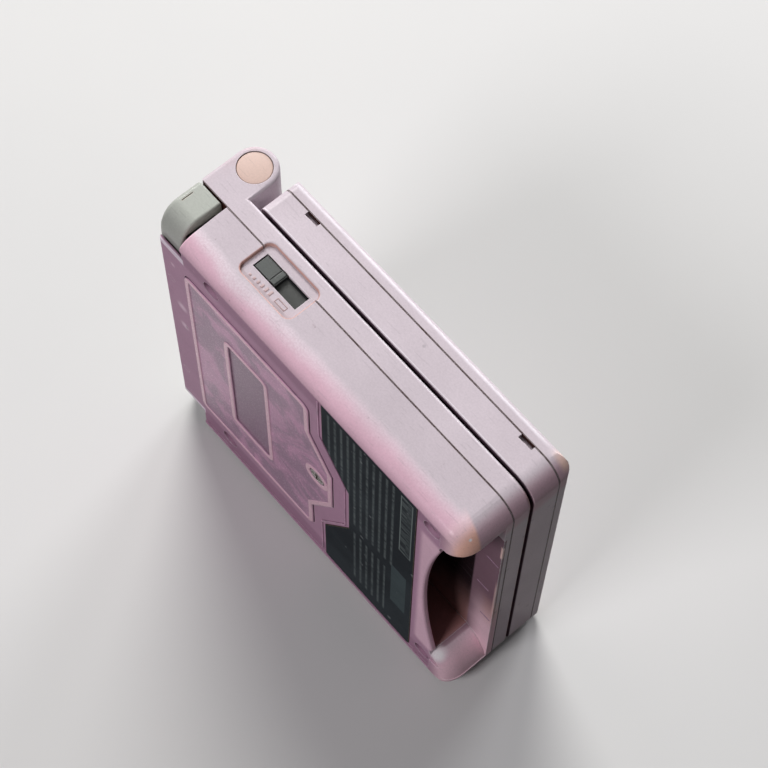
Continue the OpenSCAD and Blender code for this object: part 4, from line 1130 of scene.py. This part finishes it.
# %% Shoulder buttons
ROUND_HIGH, ROUND_LONG = 4.4, 6
left = block("shoulder_left_key", (0, 1.4, 58.8), (6.3, 11.2, WIDTH))
stretch(left, (0, 1.4, WIDTH), (1, 1, ROUND_HIGH / ROUND_LONG))
round_edges(left, lambda x, y, z: y < 1.5 and z > 81, ROUND_HIGH, 14, along="x")
stretch(left, (0, 1.4, WIDTH), (1, 1, ROUND_LONG / ROUND_HIGH))
round_edges(left, lambda x, y, z: x < 0.05 and z > 59, 1.0, 6, 20)
round_edges(left, lambda x, y, z: (x > 6.2 or y > 11.1) and z > 59, 0.45, 4, 20)
for tool in (block("dash", (1.25, 6.2, WIDTH - 0.15), (1.43, 8.7, WIDTH + 1)),
             block("hollow", (1.5, 2.9, 64.5), (7, 9.7, 79.4)),
             rod("pin_hole", (3.2, 6, 61.3), 0.95, 16, "y", 32),
             rod("coil_room", (3.2, 6.6, 61.3), 2.0, 3.6, "y", 32),
             block("wire_room", (2.6, 4.8, 60.4), (7, 8.4, 64.7))):
    combine(left, tool, "DIFFERENCE")
right = left.copy()
right.data = left.data.copy()
right.name = "shoulder_right_key"
bpy.context.scene.collection.objects.link(right)
to_right_side(right)
outward(left)
finish(left, "left_shoulder", "sage", shoulder_paint, "shoulder_button_left")
finish(right, "right_shoulder", "sage", shoulder_paint, "shoulder_button_right")

# %% [markdown]
# ## Hinge caps
# A peach plug closes each end of the hinge. It is a disc with a low dome, so it is inset in rings
# and each ring is lifted a little less than the one before.


# %% Hinge caps
def hinge_cap(name, side):
    cap = rod(name, (*HINGE, WIDTH - 0.7), 3.4, 1.1, "z", 128)
    round_edges(cap, lambda x, y, z: z > WIDTH - 0.3, 0.22, 4, 60)
    pick_faces(cap, lambda x, y, z, n: n.z > 0.99 and z > WIDTH - 0.5)
    for lift in (0.05, 0.035, 0.02, 0.01):
        bpy.ops.mesh.inset(thickness=0.75 * MM)
        bpy.ops.transform.translate(value=(0, 0, lift * MM))
    leave_faces()
    if side < 0:
        to_right_side(cap)
    return cap


finish(hinge_cap("hinge_plug_left", 1), "base", "cap", cap_paint, "hinge_cap_left")
finish(hinge_cap("hinge_plug_right", -1), "base", "cap", cap_paint, "hinge_cap_right")

# %% [markdown]
# ## Sliding knobs
# Each knob is a pad with one raised bar for the fingernail and a shallow dent beside it, on a thin
# flange that slides behind the window. These are rounded blocks, joined into one. A dark plate,
# which stays on the case, lies behind the flange and shows in the rest of the window.


# %% Knobs
PAD_LOW, PAD_HIGH = 8.0, 11.08


def knob(name, x0, x1, side, body, node):
    top = WIDTH - 0.72
    tile = block(name, (x0, 7.25, 80.3), (x1, 11.45, 80.45))
    pad = block("pad", (x0 + 0.1, PAD_LOW, 80.4), (x1, PAD_HIGH, top))
    round_edges(pad, lambda x, y, z: z > top - 0.05, 0.1, 3)
    combine(tile, pad, "UNION")
    bar = block("bar", (x1 - 1.3, PAD_LOW, top - 0.1), (x1 - 0.2, PAD_HIGH, top + 0.3))
    round_edges(bar, lambda x, y, z: z > top, 0.14, 3)
    combine(tile, bar, "UNION")
    combine(tile, block("dent", (x1 - 1.62, 8.2, top - 0.1), (x1 - 1.4, 10.9, top + 0.1)), "DIFFERENCE")
    plate = block(name + "_backing", (18.9, 7.3, 79.66), (31.4, 11.44, 80.2))
    round_edges(plate, lambda x, y, z: z > 80, 0.08, 2)
    for made in (tile, plate):
        if side < 0:
            to_right_side(made)
        else:
            outward(made)
    finish(tile, body, "charcoal", knob_plastic, node)
    finish(plate, "base", "black_plastic", window_floor)


knob("volume_knob_tile", 19.5, 25.1, 1, "volume_knob", "volume_slider")
knob("power_knob_tile", 19.5, 27.1, -1, "power_knob", "power_slider")

# %% [markdown]
# ## Keys under the lid
# The keys are domed by their moulding, so each copy of a plain key gets a small round along its top
# edge. The screen's cover and the rubber pads on the lid's screws are softened the same way.


# %% Keys
def key(node, name, body, radius, slot="sage", material=None):
    made = cad_copy(node, name)
    top = max(spot(v.co)[1] for v in made.data.vertices)
    round_edges(made, lambda x, y, z: y > top - 0.02, radius, 4, 25)
    finish(made, body, slot, material or sage_key, node)


key("button_a", "a_key_top", "a_key", 0.35)
key("button_b", "b_key_top", "b_key", 0.35)
key("start_button", "start_key_top", "start_key", 0.3)
key("select_button", "select_key_top", "select_key", 0.3)
key("light_button", "light_key_top", "light_key", 0.3)
key("dpad", "cross_key_top", "dpad_cross", 0.35)
key("screen_lens", "screen_glass", "lid", 0.2, "lens", screen_cover)
key("lid_screw_pads", "screw_pads_soft", "lid", 0.12, "rubber", bumper)


# %% [markdown]
# ## Marks beside the volume knob
# A wedge of six rising bars and an outlined box are moulded on the recess floor.

# %% Volume marks
FLOOR_Z, MARK_TOP = WIDTH - 0.85, WIDTH - 0.69
steps = [(20.2 + 1.05 * i, 20.2 + 1.05 * i + 0.5, 6.1, 6.5 + 0.13 * i) for i in range(6)]
steps += [(27.2, 29.9, 6.1, 6.24), (27.2, 27.34, 6.1, 7.1), (29.76, 29.9, 6.1, 7.1), (27.2, 29.9, 6.96, 7.1)]
bars = (block("bar", (x0, y0, FLOOR_Z), (x1, y1, MARK_TOP)) for x0, x1, y0, y1 in steps)
marks = union("volume_marks", bars)
round_edges(marks, lambda x, y, z: z > WIDTH - 0.7, 0.05, 2, 60)
mark_paint = plastic("pearl_marks", (196, 172, 172), rough=0.45, bare=(222, 206, 206), dirt=0.9,
                     soft_mm=0.06, dirt_and_shade_tone=(140, 92, 80))
finish(marks, "base", "pearl", mark_paint)
